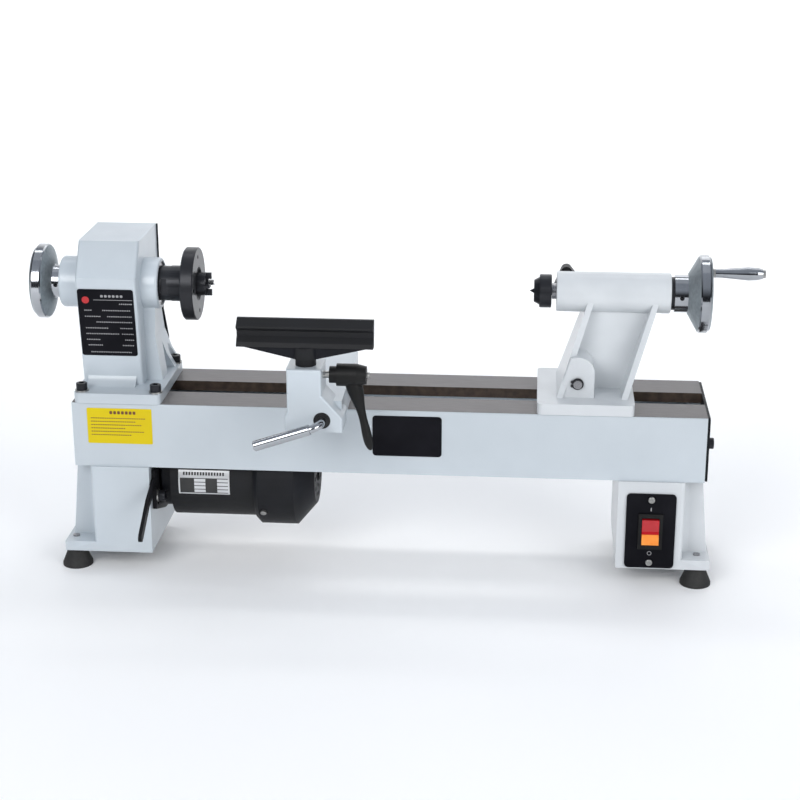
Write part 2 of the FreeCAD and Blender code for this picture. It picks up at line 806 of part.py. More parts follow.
def lobed_knob(start, end, core, lobe, reach, x, z, first_angle):
    """A hand knob along Y with three round lobes about its core."""
    pieces = [rod("y", start, end, core, x, z)]
    for turn in range(3):
        angle = math.radians(first_angle + 120.0 * turn)
        pieces.append(rod("y", start + 2, end, lobe, x + reach * math.cos(angle),
                          z + reach * math.sin(angle)))
    return fuse(*pieces)


def knob_web(start, end, lobe, reach, x, z, first_angle):
    """The flat-sided web that joins a knob's three lobes into a rounded triangle."""
    points = []
    for turn in range(3):
        angle = first_angle + 120.0 * turn
        for side in (-60.0, 60.0):
            toward, edge = math.radians(angle), math.radians(angle + side)
            points.append((x + (reach * math.cos(toward) + lobe * math.cos(edge)),
                           z + (reach * math.sin(toward) + lobe * math.sin(edge))))
    return prism("y", points, start, end)


# ---- spindle line ----

SPINDLE_STEPS = (34.0, 30.0, 26.0, 22.0, 18.0)
MOTOR_STEPS = (17.0, 21.0, 25.0, 29.0, 33.0)
BELT_STEP = 2


def make_spindle():
    bore = dim("through_bore")
    seat_radius = dim("bearing_bore") - gap
    mouth = dim("taper_mouth") + gap
    inner_end = dim("nose_end") - dim("taper_long") - 3
    points = [(-40.0, bore), (-40.0, 10.0), (-19.5, 10.0), (-19.5, seat_radius),
              (dim("collar_left"), seat_radius), (dim("collar_left"), dim("collar_radius")),
              (dim("collar_right"), dim("collar_radius")),
              (dim("collar_right"), dim("nose_radius")), (dim("nose_end"), dim("nose_radius")),
              (dim("nose_end"), mouth), (inner_end, dim("taper_end") + gap), (inner_end, bore)]
    body = turned("spindle", points, 0, 0, axis_z)
    flats = new_sketch(body, "YZ_Plane", "wrench_flats")
    flat_at = 18.0
    for i, side in enumerate((-1, 1)):
        low, high = sorted((side * flat_at, side * 30.0))
        corners = [Vector(low, -25, 0), Vector(high, -25, 0), Vector(high, 25, 0),
                   Vector(low, 25, 0)]
        for k in range(4):
            flats.addGeometry(Part.LineSegment(corners[k], corners[(k + 1) % 4]), False)
        for k in range(4):
            flats.addConstraint(Sketcher.Constraint("Coincident", 4 * i + k, 2,
                                                    4 * i + (k + 1) % 4, 1))
    flats.AttachmentOffset = FreeCAD.Placement(Vector(0, 0, 107.0), Rotation())
    doc.recompute()
    before = body.Shape.Volume
    pocket = body.newObject("PartDesign::Pocket", "wrench_pocket")
    pocket.Profile = flats
    pocket.Length = 7.0
    body.Tip = pocket
    doc.recompute()
    if body.Shape.Volume >= before - 1:
        raise RuntimeError("the spindle's wrench flats cut nothing")


def step_pulley(label, radii, bore, x, y, z):
    """A stepped pulley with one flat-bottomed groove in each step."""
    wide = dim("step_wide")
    shoulder = (wide - dim("belt_wide")) * 0.5 - 1.2
    deep = dim("groove_deep")
    points = [(0, bore)]
    for step, radius in enumerate(radii):
        start = wide * float(step)
        end = wide * float(step + 1)
        points += [(start, radius + deep), (start + shoulder, radius + deep),
                   (start + shoulder + 0.8, radius - 3.2), (end - shoulder - 0.8, radius - 3.2),
                   (end - shoulder, radius + deep), (end, radius + deep)]
    points.append((wide * float(len(radii)), bore))
    return turned(label, points, x, y, z)


def make_belt():
    """A closed loop round the two middle steps, clear of both grooves."""
    middle = dim("pulley_left") + dim("step_wide") * (BELT_STEP + 0.5)
    low_x = middle - dim("belt_wide") * 0.5
    high_x = middle + dim("belt_wide") * 0.5
    top_z = number(axis_z)
    low_z, low_y = DIMENSIONS["motor_z"], DIMENSIONS["motor_y"]
    spans = []
    for inner in (False, True):
        shift = -number(dim("belt_thick")) / 2 if inner else number(dim("belt_thick")) / 2
        upper = SPINDLE_STEPS[BELT_STEP] + shift
        lower = MOTOR_STEPS[BELT_STEP] + shift
        spans.append(loop_prism(upper, top_z, lower, low_z, low_y, low_x, high_x))
    node(cut(spans[0], spans[1]), "drive_belt")


def loop_prism(upper, top_z, lower, low_z, low_y, low_x, high_x):
    """The outline of a belt over two circles in the YZ plane, extruded along X."""
    tilt = math.asin((lower - upper) / (top_z - low_z))
    top = Vector(0, top_z, 0)
    low = Vector(low_y, low_z, 0)
    right = Vector(math.cos(tilt), math.sin(tilt), 0)
    left = Vector(-right.x, right.y, 0)
    sketch = doc.addObject("Sketcher::SketchObject", "belt_loop")
    seat(sketch, low_x, 0, 0, PLANES["x"])
    sketch.addGeometry(Part.Arc(top + right * upper, top + Vector(0, upper, 0),
                                top + left * upper), False)
    sketch.addGeometry(Part.LineSegment(top + left * upper, low + left * lower), False)
    sketch.addGeometry(Part.Arc(low + left * lower, low - Vector(0, lower, 0),
                                low + right * lower), False)
    sketch.addGeometry(Part.LineSegment(low + right * lower, top + right * upper), False)
    made = doc.addObject("Part::Extrusion", "loop")
    made.Base = sketch
    made.DirMode = "Custom"
    made.Dir = Vector(1, 0, 0)
    bind(made, "LengthFwd", high_x - low_x)
    made.Solid = True
    return made


def wheel_profile(radius, rim_half, hub, hub_long, bore, hub_start):
    """Half-section of a dished handwheel. Its rim is centred on 0 and its hub is on the +X side."""
    rim_inner = radius - 9.0
    return [(-rim_half, rim_inner), (-rim_half, radius - 3.5), (-rim_half + 3.5, radius),
            (rim_half - 1.5, radius), (rim_half, radius - 1.5), (hub_start, hub + 0.5),
            (hub_start, hub),
            (hub_start + hub_long, hub), (hub_start + hub_long, bore), (hub_start - 11.0, bore),
            (hub_start - 11.0, hub - 3.0), (rim_half - 4.5, rim_inner - 5.0)]


def make_spindle_parts():
    x = dim("pulley_left")
    step_pulley("spindle_pulley", SPINDLE_STEPS, dim("bearing_bore"), x, 0, axis_z)
    make_belt()
    rim = dim("wheel_rim_x")
    wheel = turned("spindle_handwheel",
                   wheel_profile(dim("wheel_radius"), dim("wheel_rim_half"), dim("wheel_hub"),
                                 9.5, 10.05, dim("wheel_hub_out")), rim, 0, axis_z)
    drill_radial(wheel, "spindle_wheel_hole", 18.5, -1)
    set_screw("spindle_wheel_screw", rim + 18.5, 10.3, 17.0)
    face = dim("face_right")
    points = [(dim("collar_right") + 0.1, dim("nose_radius") + gap),
              (dim("collar_right") + 0.1, dim("face_hub")), (dim("face_left"), dim("face_hub")),
              (dim("face_left"), dim("face_radius") - 1.5),
              (dim("face_left") + 1.5, dim("face_radius")), (face - 1.0, dim("face_radius")),
              (face, dim("face_radius") - 1.0), (face, 20.0), (face - 3.0, 18.0),
              (face - 3.0, dim("nose_radius") + gap)]
    plate = turned("faceplate", points, 0, 0, axis_z)
    ring_radius = dim("face_hole_ring")
    spots = [(0.0, ring_radius), (ring_radius, 0.0), (0.0, -ring_radius), (-ring_radius, 0.0)]
    drill(plate, "YZ_Plane", "faceplate_holes", spots, dim("face_hole"))
    make_spur()


def drill_radial(body, name, along, side):
    """One radial screw hole in a hub, on the operator's side."""
    sketch = new_sketch(body, "XY_Plane", name + "_centre")
    sketch.AttachmentOffset = FreeCAD.Placement(Vector(0, 0, 0), Rotation(Vector(1, 0, 0), 90))
    sketch.addGeometry(Part.Circle(Vector(along, 0, 0), Vector(0, 0, 1), 2.6), False)
    sketch.addConstraint(Sketcher.Constraint("Radius", 0, 2.6))
    doc.recompute()
    before = body.Shape.Volume
    pocket = body.newObject("PartDesign::Pocket", name)
    pocket.Profile = sketch
    pocket.Length = 40.0
    pocket.Reversed = side < 0
    body.Tip = pocket
    doc.recompute()
    if body.Shape.Volume >= before - 1:
        raise RuntimeError(name + " cut nothing")


def set_screw(label, x, inner, outer):
    """A grub screw on the operator's side of a hub."""
    screw = rod("y", -outer, -inner, 2.5, x, axis_z)
    socket = doc.addObject("Part::Prism", "socket")
    socket.Polygon = 6
    socket.Circumradius = 1.4
    socket.Height = 4.0
    axis_seat(socket, "y", -outer - 1.0, x, axis_z)
    node(cut(screw, socket), label)


def make_spur():
    """A four-prong drive centre on a number 2 Morse taper."""
    nose = dim("nose_end")
    shank = cone("x", nose - dim("taper_long"), nose, dim("taper_end"), dim("taper_mouth"),
                 0, axis_z)
    neck = rod("x", nose - 1, nose + 6, 8.5, 0, axis_z)
    head = rod("x", nose + 5, dim("spur_end"), dim("spur_radius"), 0, axis_z)
    head = soften(head, 1.2, lambda edge: edge.CenterOfMass.x < 140 and edge.Length > 60,
                  "Part::Chamfer")
    slots = []
    reach = dim("spur_radius") + 1
    blade_half = 1.6
    start = dim("spur_end") - 6
    for side_y in (-1.0, 1.0):
        for side_z in (-1.0, 1.0):
            ys = sorted((side_y * blade_half, side_y * number(reach)))
            zs = sorted((side_z * blade_half, side_z * number(reach)))
            slots.append(box(start, dim("spur_end") + 1, ys[0], ys[1], axis_z + zs[0],
                             axis_z + zs[1]))
    core = cone("x", dim("spur_end") - 7, dim("spur_tip"), 3.2, 0.3, 0, axis_z)
    ring_cut = ring("x", dim("spur_end") - 4, dim("spur_end") + 1, 6.5, 1.0, 0, axis_z)
    node(fuse(cut(fuse(shank, neck, head), ring_cut, *slots), core), "spur_center")


# ---- motor ----

def make_motor():
    y, z = dim("motor_y"), dim("motor_z")
    left, split, right = dim("motor_left"), dim("motor_split"), dim("motor_right")
    radius, cover = dim("motor_radius"), dim("cover_radius")
    shaft_gap = dim("motor_shaft") + 0.1
    points = [(left, shaft_gap), (left, radius - 15), (left + 4, radius - 10), (left + 16, radius - 10),
              (left + 16, radius), (split + 4, radius), (split + 4, 30.0), (split - 8, 26.0),
              (split - 8, shaft_gap)]
    turned("motor_housing", points, 0, y, z)
    inner = cover - 2.5
    points = [(split, radius + 0.1), (split, cover - 6), (split + 6, cover), (right - 22, cover),
              (right, cover - 26), (right, 12.0), (right - 2.5, 12.0), (right - 2.5, cover - 27.5),
              (right - 23, inner), (split + 7.5, inner), (split + 2.5, radius + 0.1)]
    shroud = turned("motor_end_cover", points, 0, y, z)
    vents = [(18.0 * math.cos(math.radians(a)), 18.0 * math.sin(math.radians(a)))
             for a in range(0, 360, 45)]
    vents += [(28.0 * math.cos(math.radians(a)), 28.0 * math.sin(math.radians(a)))
              for a in range(0, 360, 30)]
    drill(shroud, "YZ_Plane", "motor_vents", vents, 3.0)
    make_cover_screws(y, z, split, cover)
    fan_x = right - 26
    hub = ring("x", fan_x, fan_x + 14, 11.0, shaft_gap - 0.05, y, z)
    blades = [fan_blade(fan_x, y, z, angle) for angle in range(0, 360, 60)]
    node(fuse(hub, *blades), "cooling_fan")
    node(rod("x", 14.0, right - 10, dim("motor_shaft"), y, z), "motor_shaft")
    step_pulley("motor_pulley", MOTOR_STEPS, dim("motor_shaft") + 0.05, dim("pulley_left"), y, z)


def fan_blade(start, y, z, angle):
    blade = box(start + 1, start + 13, -1.0, 1.0, 9.0, 33.0)
    moved = doc.addObject("Part::Feature", "blade")
    doc.recompute()
    shape = blade.Shape.copy()
    shape.rotate(Vector(0, 0, 0), Vector(1, 0, 0), angle + 15)
    shape.translate(Vector(0, number(y), number(z)))
    moved.Shape = shape
    doc.removeObject(blade.Name)
    return moved


def make_cover_screws(y, z, split, cover):
    screws = []
    for angle in (-60, 60, 180):
        turn = math.radians(angle - 90)
        reach = number(cover) - 2.6
        centre = Vector(number(split) + 12, number(y) + reach * math.cos(turn),
                        number(z) + reach * math.sin(turn))
        outward = Vector(0, math.cos(turn), math.sin(turn))
        head = Part.makeCylinder(3.6, 2.6, centre + outward * 2.65, outward)
        shank = Part.makeCylinder(1.9, 5.6, centre - outward * 2.6, outward)
        screw = doc.addObject("Part::Feature", "cover_screw")
        screw.Shape = head.fuse(shank)
        screws.append(screw)
    node(group(*screws), "motor_cover_screws")


SWING_LIMIT = 4.0


def lock_slot(low, high):
    """The slot that the lock bolt runs in while the motor lifts by SWING_LIMIT degrees."""
    pivot = Vector(0, DIMENSIONS["pivot_y"], DIMENSIONS["pivot_z"])
    bolt = Vector(0, DIMENSIONS["lock_y"], DIMENSIONS["lock_z"])
    lifted = pivot + Rotation(Vector(1, 0, 0), SWING_LIMIT + 0.5).multVec(bolt - pivot)
    side = (lifted - bolt).normalize().cross(Vector(1, 0, 0)) * 4.6
    middle = prism("x", [(p.y, p.z) for p in (bolt + side, lifted + side, lifted - side,
                                              bolt - side)], low, high)
    ends = [rod("x", low, high, 4.6, spot.y, spot.z) for spot in (bolt, lifted)]
    return [middle, *ends]


def make_swing_plate():
    """The plate that carries the motor. It hangs on a pivot bolt and has a tension handle."""
    x0 = dim("swing_plate_x")
    x1 = x0 + dim("swing_plate_thick")
    y, z = dim("motor_y"), dim("motor_z")
    disc = rod("x", x0, x1, dim("motor_radius") - 6, y, z)
    ear = prism("x", [(y, z - 40), (y + 64, z - 8), (y + 64, z + 24), (y, z + 46)], x0, x1)
    nose = prism("x", [(y - 62, z - 30), (y - 20, z - 45), (y - 20, z + 40), (y - 62, z + 18)],
                 x0, x1)
    handle = prism("x", [(y - 50, z + 13), (y - 101.5, z - 3), (y - 144.6, z - 28.7),
                         (y - 139.4, z - 37.3), (y - 98.5, z - 13), (y - 50, z + 1)], x0, x1)
    tip = rod("x", x0, x1, 5.0, y - 142.0, z - 33.0)
    plate = fuse(disc, ear, nose, handle, tip)
    pivot_hole = rod("x", x0 - 1, x1 + 1, dim("bolt_hole") + 0.05, dim("pivot_y"), dim("pivot_z"))
    shaft_hole = rod("x", x0 - 1, x1 + 1, 16.0, y, z)
    slot = lock_slot(x0 - 1, x1 + 1)
    node(cut(plate, pivot_hole, shaft_hole, *slot), "motor_swing_plate")
    inner = dim("left_leg_inner") - dim("leg_wall")
    node(fuse(rod("x", inner - 4, x1 + 0.6, dim("bolt_shank"), dim("pivot_y"), dim("pivot_z")),
              rod("x", x1 + 0.3, x1 + 6, dim("bolt_head"), dim("pivot_y"), dim("pivot_z"))),
         "motor_pivot_bolt")
    washer_face = x1 + 0.1 + dim("washer_thick")
    node(socket_bolt("x", washer_face, -1.0, 18.0, dim("lock_y"), dim("lock_z")),
         "motor_lock_bolt")


# ---- switch ----

def make_switch():
    front = -dim("leg_half")
    x, z = dim("switch_x"), dim("switch_z")
    half_wide = dim("switch_plate_wide") * 0.5
    half_high = dim("switch_plate_high") * 0.5
    face = front - 2.0
    plate = box(x - half_wide, x + half_wide, face, front, z - half_high, z + half_high)
    plate = soften(plate, 5.0, runs_along("y"))
    half, tall = dim("switch_body_half"), dim("switch_body_tall")
    opening = box(x - half - 0.2, x + half + 0.2, face - 1, front + 1, z - tall - 0.2,
                  z + tall + 0.2)
    screw_holes = [rod("y", face - 1, front + 1, dim("switch_screw_hole"), x, height)
                   for height in switch_screw_heights()]
    node(cut(plate, opening, *screw_holes), "switch_plate")
    screws = []
    for height in switch_screw_heights():
        head = soften(rod("y", face - 2.2, face, 4.0, x, height), 1.2,
                      lambda edge: edge.CenterOfMass.y < number(face) - 2)
        cross = [box(x - 2.2, x + 2.2, face - 3, face - 1.2, height - 0.5, height + 0.5),
                 box(x - 0.5, x + 0.5, face - 3, face - 1.2, height - 2.2, height + 2.2)]
        screws.append(cut(fuse(head, rod("y", face - 0.5, front + 12, 2.0, x, height)), *cross))
    node(group(*screws), "switch_plate_screws")
    rim = box(x - half - 2, x + half + 2, face - 2.2, face, z - tall - 2, z + tall + 2)
    body = box(x - half, x + half, face - 1, front + 24, z - tall, z + tall)
    wide, long = dim("rocker_half"), dim("rocker_tall")
    well = box(x - wide - 0.4, x + wide + 0.4, face - 3, front + 12, z - long - 2.1,
               z + long + 2.1)
    pivot, pivot_y = dim("rocker_pivot"), front + 3
    sockets = rod("x", x - half + 0.4, x + half - 0.4, pivot + gap, pivot_y, z)
    node(cut(fuse(rim, body), well, sockets), "switch_housing")
    rocker = prism("x", [(face + 6, z - long), (face - 6.5, z - long), (face - 2.6, z + 0.5),
                         (face - 3.4, z + long), (face + 6, z + long), (face + 9.0, z)],
                   x - wide, x + wide)
    trunnions = rod("x", x - half + 0.7, x + half - 0.7, pivot, pivot_y, z)
    node(fuse(rocker, trunnions), "switch_rocker")


# ---- tailstock ----

def make_tailstock():
    base_top = bed_top + dim("tail_base_thick")
    left_foot, right_foot = dim("flange_foot_left"), dim("flange_foot_right")
    rise = axis_z - base_top
    lean = number(dim("flange_lean")) * number(rise)
    thick = dim("flange_thick")
    base = soften(box(dim("tail_left"), dim("tail_right"), dim("tail_front"), dim("tail_rear"),
                      bed_top, base_top), 6.0, runs_along("z"))
    foot_half, head_half = dim("flange_foot_half"), dim("flange_head_half")
    flanges = [prism("y", [(x, base_top - 1), (x + thick, base_top - 1),
                           (x + thick + lean, axis_z), (x + lean, axis_z)], -foot_half, foot_half)
               for x in (left_foot, right_foot - thick)]
    envelope = prism("x", [(-foot_half, base_top - 1), (foot_half, base_top - 1),
                           (head_half, axis_z), (-head_half, axis_z)], dim("tail_left"),
                     dim("barrel_right"))
    tapered = common(fuse(*flanges), envelope)
    web = prism("y", [(left_foot + 2, base_top - 1), (right_foot - 2, base_top - 1),
                      (right_foot + lean - 2, axis_z), (left_foot + lean + 2, axis_z)],
                -dim("web_half"), dim("web_half"))
    boss_x, boss = dim("cam_x"), dim("cam_boss")
    front = -foot_half + 4
    cam_boss = fuse(rod("y", front, -front, boss, boss_x, dim("cam_boss_z")),
                    box(left_foot + 4, boss_x + boss, front, -front, base_top - 1,
                        dim("cam_boss_z")))
    boss_trim = prism("y", [(left_foot - 40, base_top - 2), (left_foot + 1, base_top - 2),
                            (left_foot + 1 + lean, axis_z), (left_foot - 40, axis_z)],
                      front - 1, -front + 1)
    barrel = rod("x", dim("barrel_left"), dim("barrel_right"), dim("barrel_radius"), 0, axis_z)
    barrel = soften(barrel, 1.5, lambda edge: edge.Length > 100)
    body = fuse(base, tapered, web, cut(cam_boss, boss_trim), barrel)
    quill_bore = rod("x", dim("barrel_left") - 1, dim("barrel_right") - 6,
                     dim("quill_radius") + gap, 0, axis_z)
    screw_bore = rod("x", dim("barrel_right") - 8, dim("barrel_right") + 1,
                     dim("screw_radius") + 0.1, 0, axis_z)
    cam_bore = rod("y", front - 1, -front + 1, dim("cam_radius") + gap, boss_x, dim("cam_z"))
    cam_pocket = box(boss_x - 13, boss_x + 13, -10.0, 10.0, bed_top - 1, dim("cam_z") + 14)
    knob_bore = rod("y", 10.0, dim("barrel_radius") + 1, 3.1, dim("lock_knob_x"), axis_z)
    node(cut(body, quill_bore, screw_bore, cam_bore, cam_pocket, knob_bore), "tailstock_casting")


def clamp_set(prefix, x, cam_z, eye_radius):
    """The T-shaped clamp under the bed: an eye bolt hung on a cam shaft, and its plate."""
    plate_top = bed_top - dim("way_thick") - dim("clamp_gap")
    plate_low = plate_top - dim("clamp_thick")
    eye_half = dim("clamp_eye_half")
    eye = rod("y", -eye_half, eye_half, eye_radius + 3.6, x, cam_z)
    shank = rod("z", plate_low - 6.5, cam_z - eye_radius - 1, 5.0, x, 0)
    bolt = cut(fuse(eye, shank), rod("y", -eye_half - 1, eye_half + 1, eye_radius, x, cam_z))
    nut = doc.addObject("Part::Prism", "nut")
    nut.Polygon = 6
    nut.Circumradius = 9.2
    nut.Height = 6.0
    seat(nut, x, 0, plate_low - 6.1)
    node(fuse(bolt, nut), prefix + "_clamp_bolt")
    half = dim("clamp_half")
    plate = box(x - half, x + half, -half - 6, half + 6, plate_low, plate_top)
    plate = soften(plate, 6.0, runs_along("z"))
    node(cut(plate, rod("z", plate_low - 1, plate_top + 1, 5.05, x, 0)), prefix + "_clamp_plate")


def make_tail_clamp():
    x, z = dim("cam_x"), dim("cam_z")
    clamp_set("tail", x, z, 7.2)
    journal = dim("cam_radius")
    lobe = rod("y", -9.5, 9.5, 5.0, x, z - 1.5)
    shaft = cut(fuse(rod("y", -50.5, -9.0, journal, x, z), lobe,
                     rod("y", 9.0, 64.0, journal, x, z)),
                ring("y", -47.6, -46.3, journal + 1, journal - 0.6, x, z))
    node(shaft, "tail_lock_shaft")
    clip = cut(ring("y", -47.5, -46.4, journal + 1.9, journal - 0.5, x, z),
               box(x - 8, x - 2, -48.0, -46.0, z - 1.2, z + 1.2))
    ears = [ring("y", -47.5, -46.4, 1.9, 0.7, x - journal - 1.2, z + up) for up in (-2.3, 2.3)]
    node(fuse(clip, *ears), "tail_lock_circlip")
    lean = 18.0
    turn = Rotation(Vector(0, 1, 0), lean)
    hub = ring("y", 53.0, 64.5, 9.0, journal + 0.02, x, z)
    arm = doc.addObject("Part::Cone", "arm")
    arm.Radius1 = 5.5
    arm.Radius2 = 4.0
    arm.Height = 72.0
    direction = turn.multVec(Vector(0, 0, 1))
    seat(arm, x + direction.x * 7, 58.7, z + direction.z * 7, turn)
    ball = doc.addObject("Part::Sphere", "ball")
    ball.Radius = 8.0
    seat(ball, x + direction.x * 80, 58.7, z + direction.z * 80)
    node(fuse(hub, arm, ball), "tail_lock_lever")


def make_quill():
    start = dim("barrel_left") + 0.7
    end = start + dim("quill_long")
    points = [(start, dim("neck_radius") + gap), (start, dim("quill_radius") - 0.6),
              (start + 0.6, dim("quill_radius")), (end, dim("quill_radius")),
              (end, dim("screw_radius") + gap), (start + 62, dim("screw_radius") + gap),
              (start + 62, dim("taper_end") + 0.2)]
    turned("quill", points, 0, 0, axis_z)
    neck = dim("live_right")
    points = [(neck - 10, 0), (neck - 10, 5.0), (neck + 0.4, 5.0),
              (neck + 0.4, dim("neck_radius")), (start + 0.5, dim("neck_radius")),
              (start + 60, dim("taper_end")), (start + 60, 0)]
    turned("live_center_arbor", points, 0, 0, axis_z)
    points = [(dim("live_tip"), 0), (dim("live_cup") + 1.5, 3.6), (dim("live_cup") + 3.5, 3.6),
              (dim("live_cup") + 3.5, 8.5), (dim("live_cup"), 11.0), (dim("live_cup"), 12.6),
              (dim("live_left"), 16.0), (dim("live_left"), dim("live_radius") - 1),
              (dim("live_left") + 1, dim("live_radius")), (neck - 1, dim("live_radius")),
              (neck, dim("live_radius") - 1), (neck, 5.06), (neck - 10.4, 5.06),
              (neck - 10.4, 0)]
    turned("live_center_head", points, 0, 0, axis_z)


def make_tail_wheel():
    hub = dim("tail_hub_left")
    rim = dim("tail_wheel_x")
    turned("tail_handwheel",
           wheel_profile(dim("tail_wheel_radius"), dim("wheel_rim_half"), dim("tail_hub"),
                         15.0, 7.05, dim("tail_hub_out")), rim, 0, axis_z,
           Rotation(Vector(0, 0, 1), 180))
    wheel = NODES[-1]
    drill_radial(wheel, "tail_wheel_hole", 26.0, 1)
    set_screw("tail_wheel_screw", rim - 26.0, 7.2, 18.5)
    thread_start = dim("barrel_left") + 66.5
    points = [(thread_start, 0), (thread_start, dim("screw_radius") - 0.8),
              (thread_start + 0.8, dim("screw_radius")),
              (dim("barrel_right") + 0.3, dim("screw_radius")),
              (dim("barrel_right") + 0.3, 19.0), (hub - 0.2, 19.0), (hub - 0.2, 7.0),
              (rim - 2, 7.0), (rim - 2, 0)]
    turned("tail_screw", points, 0, 0, axis_z)
    face = rim + dim("wheel_rim_half")
    y = -math.sqrt(DIMENSIONS["crank_ring"] ** 2 - 29.0 ** 2)
    z = axis_z + 29.0
    end = dim("crank_right")
    pin = fuse(rod("x", face - 8, end - 4, 3.0, y, z), rod("x", face - 1.0, face + 3.0, 5.2, y, z),
               rod("x", end - 5.0, end - 1.0, 4.6, y, z))
    node(pin, "crank_bolt")
    start = face + 3.3
    points = [(start, 3.1), (start, 5.0), (start + 8, 5.2), (start + 24, 6.6),
              (start + 37, 7.7), (start + 47, 7.2), (start + 53, 5.6), (end - 5.3, 5.0),
              (end - 5.3, 3.1)]
    turned("crank_handle", points, 0, y, z)


def make_quill_lock():
    x = dim("lock_knob_x")
    start = dim("barrel_radius") + 3.0
    lobe, reach, turned_to = 6.5, 14.0, 98.0
    grip = fuse(lobed_knob(start + 5, start + 23, 12.5, lobe, reach, x, axis_z, turned_to),
                knob_web(start + 7, start + 23, lobe, reach, x, axis_z, turned_to))
    stem = rod("y", start, start + 6, 7.0, x, axis_z)
    stud = rod("y", dim("quill_radius") + 0.4, start + 1, 3.0, x, axis_z)
    node(fuse(grip, stem, stud), "quill_lock_knob")


# ---- banjo and tool rest ----

def make_banjo():
    left, right = dim("banjo_left"), dim("banjo_right")
    arm_top = bed_top + dim("banjo_high")
    front = dim("banjo_front")
    boss = dim("post_boss_radius")
    post_x, post_y = dim("post_x"), dim("post_y")
    arm = box(left, right, front + 20, dim("banjo_rear"), bed_top, arm_top)
    arm = soften(arm, 8.0, along_at("z", y=(60, 64)))
    top = dim("post_boss_top")
    block = prism("y", [(post_x - boss - 3, bed_top), (right + 3, bed_top),
                        (right + 3, bed_top + 16), (post_x + boss, bed_top + 42),
                        (post_x + boss, top), (post_x - boss, top),
                        (post_x - boss, bed_top + 22), (post_x - boss - 3, bed_top + 17)],
                  front, post_y + 22)
    block = soften(block, 2.5, lambda e: e.CenterOfMass.z > 211
                   and abs(e.CenterOfMass.y - number(front)) < 0.1)
    body = fuse(arm, block)
    cam_x, cam_z = dim("banjo_cam_x"), dim("banjo_cam_z")
    cavity = box(cam_x - 12.8, cam_x + 12.8, -112.0, dim("banjo_rear") - 8, bed_top - 1,
                 cam_z + 12.6)
    bores = [rod("z", bed_top - 1, dim("post_boss_top") + 1, dim("post_radius") + gap, post_x,
                 post_y),
             rod("y", front - 1, -110.0, 9.6, cam_x, cam_z),
             rod("y", dim("banjo_rear") - 9, dim("banjo_rear") + 1, 6.05, cam_x, cam_z),
             rod("x", post_x, post_x + boss + 1, 4.1, post_y, dim("handle_z"))]
    node(cut(body, cavity, *bores), "banjo_casting")


def make_banjo_clamp():
    x, z = dim("banjo_cam_x"), dim("banjo_cam_z")
    clamp_set("banjo", x, z, 8.4)
    bush = fuse(rod("y", dim("banjo_front") + 0.5, -112.5, 9.5, x, z),
                rod("y", -113.0, 53.6, 6.8, x, z - 1.2),
                rod("y", 53.0, dim("banjo_rear") - 0.5, 6.0, x, z))
    shaft = doc.addObject("Part::Feature", "bent_rod")
    shaft.Shape = bent_rod(number(x), number(z), 4.7)
    node(fuse(bush, shaft), "banjo_cam_lever")
    grip = doc.addObject("Part::Feature", "grip_sleeve")
    grip.Shape = grip_sleeve(number(x), number(z), 6.0, 4.72)
    node(grip, "banjo_lever_grip")


HANDLE_SLOPE = math.radians(-18.6)
HANDLE_BEND = 11.0
HANDLE_FRONT = -158.0
GRIP_LENGTH = 66.0


def handle_direction():
    return Vector(-math.cos(HANDLE_SLOPE), 0, math.sin(HANDLE_SLOPE))


def handle_elbow(x, z):
    """Where the bent rod's curve ends and its straight grip starts."""
    return Vector(x, HANDLE_FRONT - HANDLE_BEND, z) + handle_direction() * HANDLE_BEND


def bent_rod(x, z, radius):
    start = Vector(x, DIMENSIONS["banjo_front"] + 3, z)
    bend_in = Vector(x, HANDLE_FRONT, z)
    along = handle_direction()
    centre = bend_in + along * HANDLE_BEND
    half_way = centre - (along + Vector(0, 1, 0)).normalize() * HANDLE_BEND
    elbow = handle_elbow(x, z)
    tip = elbow + along * (GRIP_LENGTH - 1.5)
    path = Part.Wire([Part.LineSegment(start, bend_in).toShape(),
                      Part.Arc(bend_in, half_way, elbow).toShape(),
                      Part.LineSegment(elbow, tip).toShape()])
    section = Part.Wire([Part.Circle(start, Vector(0, -1, 0), radius).toShape()])
    return path.makePipeShell([section], True, False)


def grip_sleeve(x, z, outer, inner):
    elbow = handle_elbow(x, z)
    along = handle_direction()
    sleeve = Part.makeCylinder(outer, GRIP_LENGTH, elbow + along * 0.5, along)
    sleeve = sleeve.makeFillet(1.2, [e for e in sleeve.Edges if isinstance(e.Curve, Part.Circle)])
    return sleeve.cut(Part.makeCylinder(inner, GRIP_LENGTH - 1, elbow - along * 0.5, along))


def make_rest():
    x, y = dim("post_x"), dim("post_y")
    foot, top = dim("rest_foot"), dim("rest_top")
    post = rod("z", dim("post_foot"), foot + 2, dim("post_radius"), x, y)
    post = soften(post, 1.0, lambda edge: edge.Length > 50, "Part::Chamfer")
    section = [(y + 7, top - 1), (y + 5, top), (y + 1, top), (y - 9, top - 7), (y - 9.5, top - 9),
               (y - 4, top - 13), (y - 3.5, top - 19), (y - 9, top - 25), (y - 11, foot),
               (y + 4, foot - 1.5), (y + 4, top - 22), (y + 7, top - 10)]
    bar = prism("x", section, x - dim("rest_half"), x + dim("rest_half"))
    gusset = prism("y", [(x - dim("rest_half"), foot + 1), (x - 12.5, dim("gusset_foot")),
                         (x + 12.5, dim("gusset_foot")), (x + dim("rest_half"), foot + 1)],
                   y - 8, y + 3)
    hole = rod("z", dim("gusset_foot") - 1, foot - 3, dim("post_radius") + 0.3, x, y)
    collar = rod("z", dim("gusset_foot"), foot, dim("post_radius") + 3.0, x, y)
    shorter = cut(post, box(x - 20, x + 20, y - 20, y + 20, foot - 3.4, foot + 5))
    node(shorter, "tool_rest_post")
    node(cut(fuse(bar, gusset, collar), hole), "tool_rest_bar")


